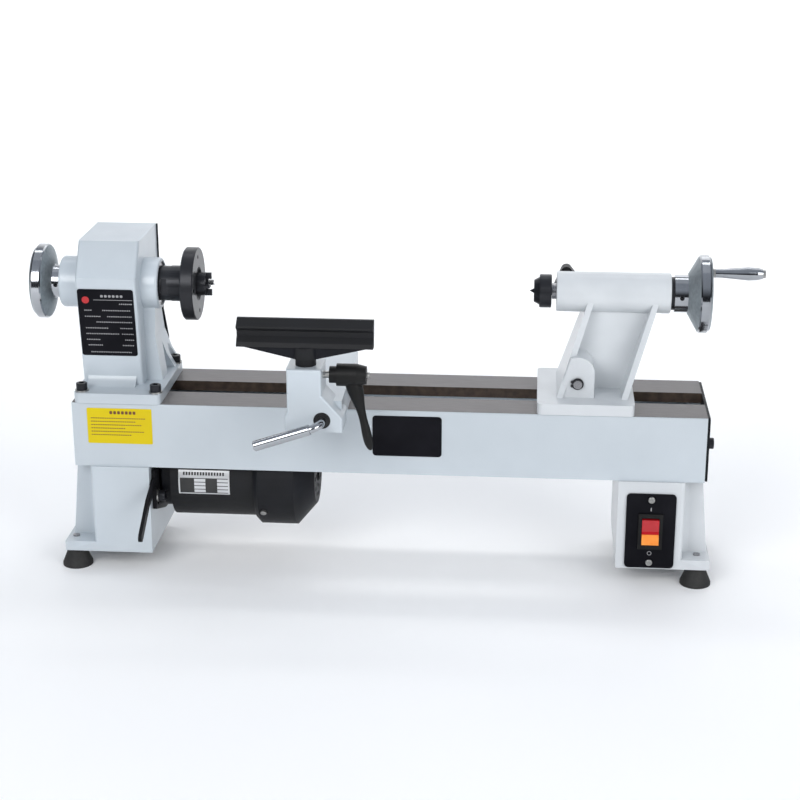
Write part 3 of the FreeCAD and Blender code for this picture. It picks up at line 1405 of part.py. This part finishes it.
def make_rest_lever():
    """The adjustable clamping lever that pinches the tool-rest post."""
    x, z = dim("handle_x"), dim("handle_z")
    y = dim("post_y")
    post_face = dim("post_x") + dim("post_radius") + 0.4
    stud = fuse(rod("x", post_face, x + 32, 4.0, y, z), rod("x", x + 31, x + 36.5, 3.4, y, z))
    node(stud, "rest_clamp_stud")
    collar = rod("x", x - 8, x + 0.5, 9.4, y, z)
    barrel = rod("x", x, x + 22, 12.6, y, z)
    nose = cone("x", x + 22, x + 33, 12.6, 10.0, y, z)
    arm = lever_arm(number(x), number(y), number(z))
    body = fuse(collar, barrel, nose, arm)
    bores = [rod("x", x - 9, x + 32.1, 4.05, y, z), rod("x", x + 31.0, x + 34, 3.45, y, z)]
    node(cut(body, *bores), "rest_clamp_lever")


def lever_arm(x, y, z):
    """A tapering oval arm that hangs from the lever's hub and ends in a rounded tip."""
    made = doc.addObject("Part::Feature", "arm")
    sections = []
    for along, wide, deep, shift in ((-6.0, 9.0, 9.6, 18.0), (-30.0, 7.0, 7.6, 23.5),
                                     (-60.0, 4.9, 5.7, 31.0), (-84.0, 3.8, 4.5, 36.0),
                                     (-87.5, 2.0, 2.4, 36.8)):
        major, minor = max(wide, deep), min(wide, deep)
        oval = Part.Ellipse(Vector(0, 0, 0), major, minor).toShape()
        turn = Rotation(Vector(0, 0, 1), 90 if deep > wide else 0)
        oval.Placement = FreeCAD.Placement(Vector(x + shift, y, z + along), turn)
        sections.append(Part.Wire([oval]))
    made.Shape = Part.makeLoft(sections, True, False)
    return made


make_bed()
make_legs()
make_feet()
make_end_plate()
make_headstock()
make_headstock_fasteners()
make_nameplate()
make_bearings()
make_door()
make_spindle()
make_spindle_parts()
make_motor()
make_swing_plate()
make_switch()
make_tailstock()
make_tail_clamp()
make_quill()
make_tail_wheel()
make_quill_lock()
make_banjo()
make_banjo_clamp()
make_rest()
make_rest_lever()

doc.recompute()

problems = [o.Name + ": " + ", ".join(o.State) for o in doc.Objects
            if "Invalid" in o.State or "Error" in o.State]
for made in NODES:
    if made.Shape.isNull() or not made.Shape.isValid() or not made.Shape.Solids:
        problems.append(made.Label + " has no valid solid")
if problems:
    raise RuntimeError("; ".join(problems))

os.makedirs("parts", exist_ok=True)
for made in NODES:
    made.Shape.exportStep("parts/" + made.Label + ".step")
    print(made.Label, len(made.Shape.Solids), round(made.Shape.Volume))
print(len(NODES), "sub-parts")
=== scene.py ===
import math

import bmesh
import bpy
from mathutils import Matrix, Vector


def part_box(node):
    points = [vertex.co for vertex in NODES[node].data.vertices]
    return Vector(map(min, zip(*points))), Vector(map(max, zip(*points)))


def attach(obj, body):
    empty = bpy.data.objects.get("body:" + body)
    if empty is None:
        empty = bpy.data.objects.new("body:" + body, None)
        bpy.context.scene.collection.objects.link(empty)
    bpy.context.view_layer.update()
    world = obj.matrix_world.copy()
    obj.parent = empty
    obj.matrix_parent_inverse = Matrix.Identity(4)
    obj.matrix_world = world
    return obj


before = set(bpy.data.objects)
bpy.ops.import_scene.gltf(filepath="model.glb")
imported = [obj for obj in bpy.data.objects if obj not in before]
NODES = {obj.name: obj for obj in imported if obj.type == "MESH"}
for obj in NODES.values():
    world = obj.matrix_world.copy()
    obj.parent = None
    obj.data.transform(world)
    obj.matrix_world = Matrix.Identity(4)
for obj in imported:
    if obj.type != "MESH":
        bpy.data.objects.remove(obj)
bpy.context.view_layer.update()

# Sockets of the Mix node, which shares one name between its number and its colour versions.
NUMBER_A, NUMBER_B, NUMBER_OUT = 2, 3, 0
COLOUR_A, COLOUR_B, COLOUR_OUT = 6, 7, 2

# Depths in from a face, in metres.
WAY_SKIN = 0.0005
SLOT_REACH = 0.0225
SLOT_DEPTH = 0.0130
WHEEL_RIM = 0.0016
HUB_RADIUS = {"spindle_handwheel": 0.0198, "tail_handwheel": 0.0223}
ROCKER_SPLIT = 0.40

# Thicknesses of labels and print, in metres.
LABEL_THICK = 0.0003
STICKER_THICK = 0.0005
NAMEPLATE_THICK = 0.0008
PRINT_THICK = 0.00008
PRINT_LIP = 0.00003

# ---- procedural materials ----


def link(tree, source, output, target, socket):
    tree.links.new(source.outputs[output], target.inputs[socket])


def add(tree, kind, **settings):
    made = tree.nodes.new(kind)
    for name, value in settings.items():
        setattr(made, name, value)
    return made


def noise(tree, scale, detail=4.0, stretch=(1.0, 1.0, 1.0)):
    """Noise in the object's own metres, optionally stretched along an axis."""
    where = add(tree, "ShaderNodeTexCoord")
    mapping = add(tree, "ShaderNodeMapping")
    mapping.inputs["Scale"].default_value = stretch
    made = add(tree, "ShaderNodeTexNoise")
    made.inputs["Scale"].default_value = scale
    made.inputs["Detail"].default_value = detail
    link(tree, where, "Object", mapping, "Vector")
    link(tree, mapping, "Vector", made, "Vector")
    return made


def ramp(tree, source, output, low, high, start=0.35, end=0.65):
    made = add(tree, "ShaderNodeValToRGB")
    made.color_ramp.elements[0].position = start
    made.color_ramp.elements[1].position = end
    made.color_ramp.elements[0].color = (*low, 1.0)
    made.color_ramp.elements[1].color = (*high, 1.0)
    link(tree, source, output, made, "Fac")
    return made


def spread(tree, source, output, low, high):
    made = add(tree, "ShaderNodeMapRange")
    made.inputs["To Min"].default_value = low
    made.inputs["To Max"].default_value = high
    link(tree, source, output, made, "Value")
    return made


def material(name, dark, light, rough, metal=0.0, grain=900.0, depth=0.00004, patch=18.0,
             stretch=(1.0, 1.0, 1.0), coat=0.0, edge=None, shine=0.5):
    """A finish with patchy colour, uneven roughness, fine bump and worn or dusty edges."""
    made = bpy.data.materials.new(name)
    made.use_nodes = True
    tree = made.node_tree
    shader = tree.nodes["Principled BSDF"]
    shader.inputs["Metallic"].default_value = metal
    shader.inputs["Coat Weight"].default_value = coat
    shader.inputs["Specular IOR Level"].default_value = shine
    shader.inputs["Coat Roughness"].default_value = 0.12
    broad = noise(tree, patch, 5.0)
    colour = ramp(tree, broad, "Fac", dark, light)
    fine = noise(tree, grain, 3.0, stretch)
    roughness = spread(tree, fine, "Fac", rough[0], rough[1])
    link(tree, roughness, "Result", shader, "Roughness")
    bump = add(tree, "ShaderNodeBump")
    bump.inputs["Strength"].default_value = 0.6
    bump.inputs["Distance"].default_value = depth
    link(tree, fine, "Fac", bump, "Height")
    link(tree, bump, "Normal", shader, "Normal")
    if edge is None:
        link(tree, colour, "Color", shader, "Base Color")
        return made
    geometry = add(tree, "ShaderNodeNewGeometry")
    wear = ramp(tree, geometry, "Pointiness", (0.0,) * 3, (0.5,) * 3, 0.52, 0.60)
    mix = add(tree, "ShaderNodeMix", data_type="RGBA")
    link(tree, wear, "Color", mix, "Factor")
    tree.links.new(colour.outputs["Color"], mix.inputs[COLOUR_A])
    mix.inputs[COLOUR_B].default_value = (*edge, 1.0)
    tree.links.new(mix.outputs[COLOUR_OUT], shader.inputs["Base Color"])
    return made


def over(base, name, mask_of, dark, light, rough, metal, scale, stretch=(1.0, 1.0, 1.0)):
    """A copy of one finish, with a second one laid over it wherever the mask is 1."""
    made = base.copy()
    made.name = name
    tree = made.node_tree
    shader = tree.nodes["Principled BSDF"]
    mask = mask_of(tree)
    grain = noise(tree, scale, 6.0, stretch)
    colour = ramp(tree, grain, "Fac", dark, light, 0.3, 0.7)
    polish = spread(tree, grain, "Fac", *rough)
    pairs = (("Base Color", colour, "Color", "RGBA", COLOUR_A, COLOUR_B, COLOUR_OUT),
             ("Roughness", polish, "Result", "FLOAT", NUMBER_A, NUMBER_B, NUMBER_OUT))
    for socket, source, output, kind, first, second, result in pairs:
        mix = add(tree, "ShaderNodeMix", data_type=kind)
        tree.links.new(mask.outputs[0], mix.inputs[0])
        tree.links.new(shader.inputs[socket].links[0].from_socket, mix.inputs[first])
        tree.links.new(source.outputs[output], mix.inputs[second])
        tree.links.new(mix.outputs[result], shader.inputs[socket])
    metallic = add(tree, "ShaderNodeMix", data_type="FLOAT")
    tree.links.new(mask.outputs[0], metallic.inputs[0])
    metallic.inputs[NUMBER_A].default_value = shader.inputs["Metallic"].default_value
    if shader.inputs["Metallic"].links:
        first = shader.inputs["Metallic"].links[0].from_socket
        tree.links.new(first, metallic.inputs[NUMBER_A])
    metallic.inputs[NUMBER_B].default_value = metal
    tree.links.new(metallic.outputs[NUMBER_OUT], shader.inputs["Metallic"])
    return made


# ---- masks: where on a piece a second finish shows ----


def threshold(tree, source, output, limit, operation="GREATER_THAN"):
    made = add(tree, "ShaderNodeMath", operation=operation)
    made.inputs[1].default_value = limit
    link(tree, source, output, made, 0)
    return made


def both(tree, first, second):
    made = add(tree, "ShaderNodeMath", operation="MULTIPLY")
    link(tree, first, 0, made, 0)
    link(tree, second, 0, made, 1)
    return made


def placed(tree):
    """The surface point's own coordinates, split into X, Y and Z."""
    where = add(tree, "ShaderNodeTexCoord")
    made = add(tree, "ShaderNodeSeparateXYZ")
    link(tree, where, "Object", made, "Vector")
    return made


def facing(tree):
    geometry = add(tree, "ShaderNodeNewGeometry")
    made = add(tree, "ShaderNodeSeparateXYZ")
    link(tree, geometry, "True Normal", made, "Vector")
    return made


def on_ways(tree):
    """The ground top faces of the bed."""
    return both(tree, threshold(tree, placed(tree), "Z", WAY_TOP - WAY_SKIN),
                threshold(tree, facing(tree), "Z", 0.9))


def in_slot(tree):
    """The unpainted side walls of the slot between the ways."""
    where = placed(tree)
    offset = add(tree, "ShaderNodeMath", operation="SUBTRACT")
    offset.inputs[1].default_value = AXIS_Y
    link(tree, where, "Y", offset, 0)
    away = add(tree, "ShaderNodeMath", operation="ABSOLUTE")
    link(tree, offset, 0, away, 0)
    near = threshold(tree, away, 0, SLOT_REACH, "LESS_THAN")
    high = threshold(tree, where, "Z", WAY_TOP - SLOT_DEPTH)
    upright = threshold(tree, facing(tree), "Z", 0.5, "LESS_THAN")
    return both(tree, both(tree, near, high), upright)


def between_radii(low, high):
    """The part of a wheel that lies between two radii about the spindle axis."""
    def mask(tree):
        where = add(tree, "ShaderNodeTexCoord")
        across = add(tree, "ShaderNodeVectorMath", operation="MULTIPLY")
        across.inputs[1].default_value = (0.0, 1.0, 1.0)
        link(tree, where, "Object", across, 0)
        reach = add(tree, "ShaderNodeVectorMath", operation="DISTANCE")
        reach.inputs[1].default_value = (0.0, AXIS_Y, AXIS_Z)
        link(tree, across, "Vector", reach, 0)
        return both(tree, threshold(tree, reach, "Value", low),
                    threshold(tree, reach, "Value", high, "LESS_THAN"))
    return mask


def behind_banjo_front(tree):
    """The part of the cam lever's rod that lies inside the banjo."""
    return threshold(tree, placed(tree), "Y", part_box("banjo_casting")[0][1] - 0.0001)


def rocker_foot(tree):
    """The lower, orange part of the switch."""
    low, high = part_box("switch_rocker")
    split = low[2] + (high[2] - low[2]) * ROCKER_SPLIT
    return threshold(tree, placed(tree), "Z", split, "LESS_THAN")


bed_low, bed_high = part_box("bed_casting")
WAY_TOP = bed_high[2]
AXIS_Y = (bed_low[1] + bed_high[1]) / 2
wheel_low, wheel_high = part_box("tail_handwheel")
AXIS_Z = (wheel_low[2] + wheel_high[2]) / 2

# ---- finishes ----

WHITE = material("pale_enamel", (0.50, 0.555, 0.60), (0.54, 0.595, 0.64), (0.26, 0.40),
                 grain=420.0, depth=0.00005, coat=0.25, edge=(0.44, 0.48, 0.51))
# A lighter copy of the pale enamel for the right leg and tailstock: painted light, standing in
# for the extra light on that end, not a different paint.
LIT_ENAMEL = material("lit_enamel_copy", (0.565, 0.593, 0.615), (0.62, 0.648, 0.670), (0.26, 0.40),
                  grain=420.0, depth=0.00005, coat=0.25, edge=(0.52, 0.54, 0.56))
BLACK = material("black_enamel", (0.0025, 0.003, 0.0045), (0.006, 0.007, 0.010), (0.30, 0.46),
                 grain=500.0, edge=(0.02, 0.02, 0.021), shine=0.05)
TEXTURED = material("textured_black", (0.0025, 0.003, 0.0048), (0.006, 0.007, 0.011),
                    (0.42, 0.62), grain=1300.0, depth=0.00009, edge=(0.02, 0.02, 0.02),
                    shine=0.20)
PLASTIC = material("black_plastic", (0.005, 0.005, 0.005), (0.011, 0.011, 0.011), (0.36, 0.52),
                   grain=1600.0, depth=0.00003, shine=0.22)
RUBBER = material("foot_rubber", (0.008, 0.008, 0.008), (0.022, 0.021, 0.020), (0.60, 0.82),
                  grain=700.0, depth=0.00006, patch=60.0)
BELT = material("belt_rubber", (0.012, 0.012, 0.012), (0.025, 0.024, 0.023), (0.7, 0.9),
                grain=500.0, stretch=(1.0, 6.0, 1.0))
BLUED = material("blued_steel", (0.010, 0.011, 0.014), (0.024, 0.026, 0.031), (0.24, 0.40),
                 metal=0.35, grain=800.0, stretch=(10.0, 1.0, 1.0), edge=(0.05, 0.05, 0.055),
                 shine=0.25)
STEEL = material("turned_steel", (0.26, 0.26, 0.27), (0.40, 0.40, 0.41), (0.20, 0.36),
                 metal=1.0, grain=300.0, stretch=(12.0, 1.0, 1.0))
ZINC = material("zinc_plate", (0.32, 0.32, 0.31), (0.46, 0.455, 0.44), (0.24, 0.42), metal=1.0,
                grain=700.0, patch=140.0)
CHROME = material("chrome_plate", (0.34, 0.355, 0.375), (0.47, 0.485, 0.51), (0.07, 0.17),
                  metal=1.0, grain=260.0, depth=0.00001, stretch=(8.0, 1.0, 1.0))
ALUMINIUM = material("cast_aluminium", (0.46, 0.46, 0.47), (0.62, 0.62, 0.63), (0.3, 0.5),
                     metal=1.0, grain=600.0)
RED = material("red_switch", (0.42, 0.008, 0.014), (0.56, 0.014, 0.022), (0.16, 0.26),
               grain=500.0, depth=0.00001, coat=0.15)
YELLOW = material("yellow_label", (0.66, 0.52, 0.006), (0.62, 0.47, 0.006), (0.34, 0.46),
                  grain=700.0, depth=0.00001, shine=0.2)
FILM = material("black_film", (0.005, 0.005, 0.007), (0.010, 0.010, 0.013), (0.24, 0.38),
                grain=500.0, depth=0.00001, shine=0.05)
INK_DARK = material("dark_ink", (0.10, 0.035, 0.008), (0.17, 0.06, 0.015), (0.4, 0.5))
INK_BLACK = material("black_ink", (0.012, 0.012, 0.012), (0.03, 0.03, 0.03), (0.4, 0.5))
INK_RED = material("red_ink", (0.42, 0.012, 0.016), (0.55, 0.025, 0.03), (0.35, 0.5))
INK_PALE = material("pale_ink", (0.24, 0.24, 0.25), (0.34, 0.34, 0.35), (0.35, 0.5))
FOIL = material("silver_foil", (0.55, 0.56, 0.57), (0.70, 0.71, 0.72), (0.25, 0.4), metal=0.8,
                grain=500.0, stretch=(1.0, 1.0, 12.0))

FINISHES = {
    WHITE: ["left_leg", "headstock_casting", "banjo_casting"],
    # The right leg and tailstock take the lighter copy of the enamel, which is painted light.
    LIT_ENAMEL: ["right_leg", "tailstock_casting"],
    BLACK: ["belt_door", "bed_end_plate", "motor_swing_plate", "tail_lock_lever"],
    TEXTURED: ["motor_housing", "motor_end_cover", "tool_rest_bar", "tool_rest_post"],
    PLASTIC: ["door_knob", "cooling_fan", "switch_housing", "quill_lock_knob",
              "rest_clamp_lever"],
    FILM: ["headstock_nameplate", "switch_plate"],
    RUBBER: ["rubber_feet"],
    BELT: ["drive_belt"],
    BLUED: ["end_plate_bolts", "headstock_bolts", "motor_lock_bolt", "spindle_wheel_screw",
            "faceplate", "spur_center", "tail_clamp_plate", "tail_lock_circlip",
            "live_center_head", "tail_wheel_screw", "tail_screw", "banjo_clamp_plate",
            "spindle"],
    STEEL: ["foot_screws", "spindle_bearings", "door_hinge_pin", "motor_shaft",
            "tail_clamp_bolt", "tail_lock_shaft", "quill", "live_center_arbor",
            "banjo_clamp_bolt"],
    ZINC: ["plain_washers", "motor_cover_screws", "motor_pivot_bolt", "switch_plate_screws",
           "crank_bolt", "rest_clamp_stud"],
    CHROME: ["spindle_handwheel", "tail_handwheel", "crank_handle", "banjo_cam_lever",
             "banjo_lever_grip"],
    ALUMINIUM: ["spindle_pulley", "motor_pulley"],
    RED: ["switch_rocker"],
}


def dress(node, finish):
    for slot in NODES[node].material_slots:
        slot.material = finish


for finish, members in FINISHES.items():
    for member in members:
        dress(member, finish)

painted_bed = over(WHITE, "paint_and_ground_ways", on_ways, (0.060, 0.054, 0.054),
                   (0.125, 0.115, 0.117), (0.34, 0.54), 0.6, 60.0, (1.0, 14.0, 1.0))
dress("bed_casting", over(painted_bed, "bed_finish", in_slot, (0.030, 0.019, 0.013),
                          (0.075, 0.050, 0.036), (0.50, 0.75), 0.3, 120.0))
for wheel, hub_radius in HUB_RADIUS.items():
    low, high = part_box(wheel)
    cast_cone = between_radii(hub_radius, (high[2] - low[2]) / 2 - WHEEL_RIM)
    dress(wheel, over(CHROME, wheel + "_finish", cast_cone, (0.31, 0.345, 0.365),
                      (0.43, 0.47, 0.49), (0.42, 0.60), 0.9, 240.0))
dress("banjo_cam_lever", over(CHROME, "cam_bush_and_rod", behind_banjo_front,
                              (0.006, 0.006, 0.007), (0.013, 0.013, 0.014), (0.3, 0.5), 0.2,
                              200.0))
dress("switch_rocker", over(RED, "two_tone_rocker", rocker_foot, (0.80, 0.20, 0.03),
                            (0.92, 0.34, 0.07), (0.14, 0.24), 0.0, 90.0))

# ---- pieces made of meshes ----


def finish_mesh(name, shell, surface, body):
    mesh = bpy.data.meshes.new(name)
    bmesh.ops.recalc_face_normals(shell, faces=shell.faces)
    shell.to_mesh(mesh)
    shell.free()
    mesh.materials.append(surface)
    piece = bpy.data.objects.new(name, mesh)
    bpy.context.scene.collection.objects.link(piece)
    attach(piece, body)
    return piece


def rounded_outline(wide, high, corner, steps=6):
    """Points round a rectangle with quarter-circle corners, anticlockwise."""
    points = []
    for turn, (side_x, side_y) in enumerate(((1, 1), (-1, 1), (-1, -1), (1, -1))):
        centre = (side_x * (wide / 2 - corner), side_y * (high / 2 - corner))
        for step in range(steps + 1):
            angle = math.pi / 2 * (turn + step / steps)
            points.append((centre[0] + corner * math.cos(angle),
                           centre[1] + corner * math.sin(angle)))
    return points


def add_slab(shell, place, outline, thick, lip=0.00012):
    """A thin plate with a chamfered rim, its back on the plane that place describes."""
    shrink = [(x * (1 - lip / max(abs(x), 0.001)), y * (1 - lip / max(abs(y), 0.001)))
              for x, y in outline]
    levels = ((outline, 0.0), (outline, thick - lip), (shrink, thick))
    rings = [[shell.verts.new(place @ Vector((x, y, z))) for x, y in points]
             for points, z in levels]
    count = len(outline)
    shell.faces.new(list(reversed(rings[0])))
    shell.faces.new(rings[-1])
    for low, high in zip(rings, rings[1:]):
        for i in range(count):
            j = (i + 1) % count
            shell.faces.new((low[i], low[j], high[j], high[i]))


def facing_front(x, y, z, tilt=0.0):
    """A frame whose X is the machine's X, whose Y is up and whose Z looks at the operator."""
    turn = Matrix.Rotation(math.pi / 2 + tilt, 4, "X")
    return Matrix.Translation((x, y, z)) @ turn


def label(name, place, wide, high, corner, surface, body, thick=LABEL_THICK):
    shell = bmesh.new()
    add_slab(shell, place, rounded_outline(wide, high, corner), thick)
    return finish_mesh(name, shell, surface, body)


def marks(name, place, spots, surface, body, lift):
    """Small blank bars, given as centre x, centre y, width and height, in one piece."""
    shell = bmesh.new()
    raised = place @ Matrix.Translation((0, 0, lift))
    for x, y, wide, high in spots:
        corner = min(wide, high) * 0.3
        shifted = raised @ Matrix.Translation((x, y, 0))
        outline = rounded_outline(wide, high, corner, 2)
        add_slab(shell, shifted, outline, PRINT_THICK, PRINT_LIP)
    return finish_mesh(name, shell, surface, body)


def dashes(first, last, y, high, long, space):
    """A broken line of blank dashes that stands for one line of print."""
    count = max(1, round((last - first) / (long + space)))
    pitch = (last - first) / count
    return [(first + pitch * (i + 0.5), y, pitch - space, high) for i in range(count)]


# ---- labels and plates ----

FRONT_OF_BED = bed_low[1]
BED_LEFT = bed_low[0]
# Lines on the yellow notice: the length of each, as a share of the longest.
NOTICE_ROWS = (0.95, 0.78, 0.88, 0.60, 0.92, 0.70)
NOTICE_LEFT = -0.034
NOTICE_LINE = 0.068
NOTICE_TOP = 0.0095
NOTICE_PITCH = 0.0041
# Lines on the nameplate: depth below its top edge, then each stretch of print, as shares.
HEADING_DEPTH = 0.100
PLATE_ROWS = (
    (HEADING_DEPTH, ((0.40, 0.82),)), (0.214, ((0.73, 0.97),)),
    (0.313, ((0.10, 0.24), (0.42, 0.93))),
    (0.405, ((0.10, 0.39), (0.50, 0.95))), (0.489, ((0.30, 0.95),)),
    (0.580, ((0.10, 0.51), (0.72, 0.95))), (0.667, ((0.10, 0.70), (0.74, 0.96))),
    (0.756, ((0.10, 0.35), (0.79, 0.96))), (0.840, ((0.12, 0.39), (0.74, 0.95))),
    (0.945, ((0.16, 0.90),)),
)


def make_bed_labels():
    """The yellow notice at the left of the bed, and the dark blank sticker to its right."""
    place = facing_front(BED_LEFT + 0.0557, FRONT_OF_BED, 0.1823)
    label("yellow_notice", place, 0.0766, 0.0435, 0.0015, YELLOW, "base")
    heading = dashes(-0.012, 0.020, 0.0165, 0.0040, 0.0034, 0.0012)
    lines = []
    for row, share in enumerate(NOTICE_ROWS):
        lines += dashes(NOTICE_LEFT, NOTICE_LEFT + NOTICE_LINE * share,
                        NOTICE_TOP - NOTICE_PITCH * row, 0.0013, 0.0019, 0.0008)
    marks("notice_print", place, heading + lines, INK_DARK, "base",
          LABEL_THICK)
    place = facing_front(BED_LEFT + 0.3917, FRONT_OF_BED, 0.1791)
    label("blank_sticker", place, 0.0800, 0.0491, 0.0040, FILM, "base",
          STICKER_THICK)


def make_headstock_print():
    """Rows of blank dashes and one plain dot on the leaning nameplate."""
    low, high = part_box("headstock_nameplate")
    wide = high[0] - low[0]
    half_thick = NAMEPLATE_THICK / 2
    lean = high[1] - low[1] - 2 * half_thick
    tall = math.hypot(lean, high[2] - low[2])
    tilt = math.atan2(lean, high[2] - low[2])
    middle = [(a + b) / 2 for a, b in zip(low, high)]
    place = facing_front(middle[0], middle[1] - half_thick, middle[2], tilt)
    spots = [(wide * 0.13, tall * (0.5 - 0.157), wide * 0.70, 0.0006)]
    for depth, stretches in PLATE_ROWS:
        high_mark = 0.0030 if depth == HEADING_DEPTH else 0.0014
        for first, last in stretches:
            spots += dashes(wide * (first - 0.5), wide * (last - 0.5), tall * (0.5 - depth),
                            high_mark, high_mark, high_mark * 0.5)
    marks("nameplate_print", place, spots, INK_PALE, "base", 0.0)
    shell = bmesh.new()
    badge = place @ Matrix.Translation((wide * -0.36, tall * 0.34, 0.0))
    add_slab(shell, badge, rounded_outline(0.0086, 0.0086, 0.0042), 0.0001, PRINT_LIP)
    finish_mesh("nameplate_dot", shell, INK_RED, "base")


def add_curved(shell, spot, first, last, low, high, back, front):
    """A thin field that follows a curve; spot gives a point from two shares and a lift."""
    steps = max(1, round((high - low) / 0.08))
    rings = []
    for step in range(steps + 1):
        share = low + (high - low) * step / steps
        rings.append([shell.verts.new(spot(across, share, lift)) for across, lift in
                      ((first, back), (first, front), (last, front), (last, back))])
    for ring, beyond in zip(rings, rings[1:]):
        for i in range(4):
            j = (i + 1) % 4
            shell.faces.new((ring[i], ring[j], beyond[j], beyond[i]))
    shell.faces.new(rings[0])
    shell.faces.new(rings[-1])


def make_motor_plate():
    """The rating plate, bent round the motor: a bright header over dark blank fields."""
    low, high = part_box("motor_housing")
    radius = (high[1] - low[1]) / 2
    axis_y = (low[1] + high[1]) / 2
    axis_z = (low[2] + high[2]) / 2
    left, wide = BED_LEFT + 0.119, 0.061
    arc, middle = math.radians(31.0), math.radians(2.8)
    back, face, ink = 0.00005, 0.0005, 0.00058

    def spot(across, share, lift):
        angle = middle + arc * (share - 0.5)
        return (left + wide * across, axis_y - (radius + lift) * math.cos(angle),
                axis_z + (radius + lift) * math.sin(angle))

    shell = bmesh.new()
    add_curved(shell, spot, 0.0, 1.0, 0.0, 1.0, back, face)
    finish_mesh("motor_rating_plate", shell, FOIL, "motor")
    shell = bmesh.new()
    for first, last in ((0.03, 0.31), (0.53, 0.76)):
        add_curved(shell, spot, first, last, 0.05, 0.68, face, ink)
    for first, last in ((0.31, 0.53), (0.76, 0.97)):
        for row in range(5):
            foot = 0.05 + 0.15 * row
            add_curved(shell, spot, first, last, foot, foot + 0.03, face, ink)
    for mark in range(15):
        first = 0.09 + 0.055 * mark
        add_curved(shell, spot, first, first + 0.036, 0.79, 0.92, face, ink)
    finish_mesh("motor_plate_print", shell, INK_BLACK, "motor")


def make_switch_marks():
    """A bar over the switch and a ring under it, in place of words."""
    on_height, off_height = 0.0272, -0.0276
    low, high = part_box("switch_plate")
    x = (low[0] + high[0]) / 2
    z = (low[2] + high[2]) / 2
    place = facing_front(x, low[1], z)
    marks("switch_on_mark", place, [(0.0, on_height, 0.0012, 0.0045)], INK_PALE, "base",
          0.0)
    shell = bmesh.new()
    outer, inner, thick, count = 0.0026, 0.0019, PRINT_THICK, 24
    rings = []
    for reach, height in ((outer, 0.0), (outer, thick), (inner, thick), (inner, 0.0)):
        rings.append([shell.verts.new(place @ Vector((
            reach * math.cos(math.tau * i / count),
            off_height + reach * math.sin(math.tau * i / count), height)))
            for i in range(count)])
    for k in range(4):
        for i in range(count):
            j = (i + 1) % count
            shell.faces.new((rings[k][i], rings[k][j], rings[(k + 1) % 4][j],
                             rings[(k + 1) % 4][i]))
    finish_mesh("switch_off_mark", shell, INK_PALE, "base")


make_bed_labels()
make_headstock_print()
make_motor_plate()
make_switch_marks()

# ---- floor, light and camera ----


def make_floor():
    """A pale sweep: flat under the machine, curving up well behind it."""
    shell = bmesh.new()
    half, front, back, radius, tall = 3.6, -2.4, 3.0, 1.5, 5.0
    profile = [(front, 0.0)]
    for step in range(13):
        angle = math.pi / 2 * step / 12
        profile.append((back + radius * math.sin(angle), radius - radius * math.cos(angle)))
    profile.append((back + radius, tall))
    rows = [[shell.verts.new((x, y, z)) for x in (-half, half)] for y, z in profile]
    for a, b in zip(rows, rows[1:]):
        shell.faces.new((a[0], a[1], b[1], b[0]))
    mesh = bpy.data.meshes.new("floor")
    shell.to_mesh(mesh)
    shell.free()
    for face in mesh.polygons:
        face.use_smooth = True
    floor = bpy.data.objects.new("floor", mesh)
    bpy.context.scene.collection.objects.link(floor)
    surface = material("pale_floor", (0.97, 0.97, 0.97), (0.985, 0.985, 0.985), (0.6, 0.75),
                       patch=2.0)
    mesh.materials.append(surface)


# Area lights: name, place, the point each looks at, size in metres, power in watts.
LIGHTS = (
    ("key", (-1.1, -2.3, 1.5), (0.0, 0.0, 0.2), (1.6, 1.2), 39.0),
    ("fill", (1.8, -1.8, 1.1), (0.1, 0.0, 0.2), (1.6, 1.6), 31.0),
    ("overhead", (0.0, 0.3, 2.6), (0.0, 0.0, 0.2), (2.4, 1.4), 2.0),
    ("rear", (0.2, 2.0, 1.6), (0.0, 0.0, 0.3), (2.0, 1.0), 5.0),
    ("backdrop", (0.0, 1.4, 3.0), (0.0, 4.4, 0.6), (5.0, 1.5), 110.0),
)
CAMERA_PLACE = (0.1621, -1.9360, 0.8743)
CAMERA_DOWN = 18.765
CAMERA_TURN = 4.505
CAMERA_LENS = 79.54
CAMERA_SENSOR = 36.0


def area_light(name, place, aim, size, power):
    data = bpy.data.lights.new(name, "AREA")
    data.shape = "RECTANGLE"
    data.size, data.size_y = size
    data.energy = power
    lamp = bpy.data.objects.new(name, data)
    lamp.location = place
    lamp.rotation_euler = (Vector(aim) - Vector(place)).to_track_quat("-Z", "Y").to_euler()
    bpy.context.scene.collection.objects.link(lamp)


def make_world():
    """A pale studio overhead, dark near the horizon and below it for metal to reflect."""
    world = bpy.data.worlds.new("studio")
    world.use_nodes = True
    tree = world.node_tree
    where = add(tree, "ShaderNodeTexCoord")
    direction = add(tree, "ShaderNodeSeparateXYZ")
    link(tree, where, "Generated", direction, "Vector")
    sky = ramp(tree, direction, "Z", (0.03, 0.033, 0.038), (0.50, 0.54, 0.61), 0.10, 0.55)
    background = tree.nodes["Background"]
    link(tree, sky, "Color", background, "Color")
    background.inputs["Strength"].default_value = 0.80
    bpy.context.scene.world = world


def make_camera():
    data = bpy.data.cameras.new("camera")
    data.sensor_width = CAMERA_SENSOR
    data.lens = CAMERA_LENS
    camera = bpy.data.objects.new("camera", data)
    camera.location = CAMERA_PLACE
    camera.rotation_euler = (math.radians(90.0 - CAMERA_DOWN), 0.0, math.radians(CAMERA_TURN))
    bpy.context.scene.collection.objects.link(camera)
    bpy.context.scene.camera = camera


make_floor()
for light in LIGHTS:
    area_light(*light)
make_world()
bpy.context.scene.view_settings.view_transform = "Standard"
make_camera()

for node in NODES.values():
    if node.data.materials and not any(m and m.use_nodes for m in node.data.materials):
        raise RuntimeError(node.name + " has no finish")
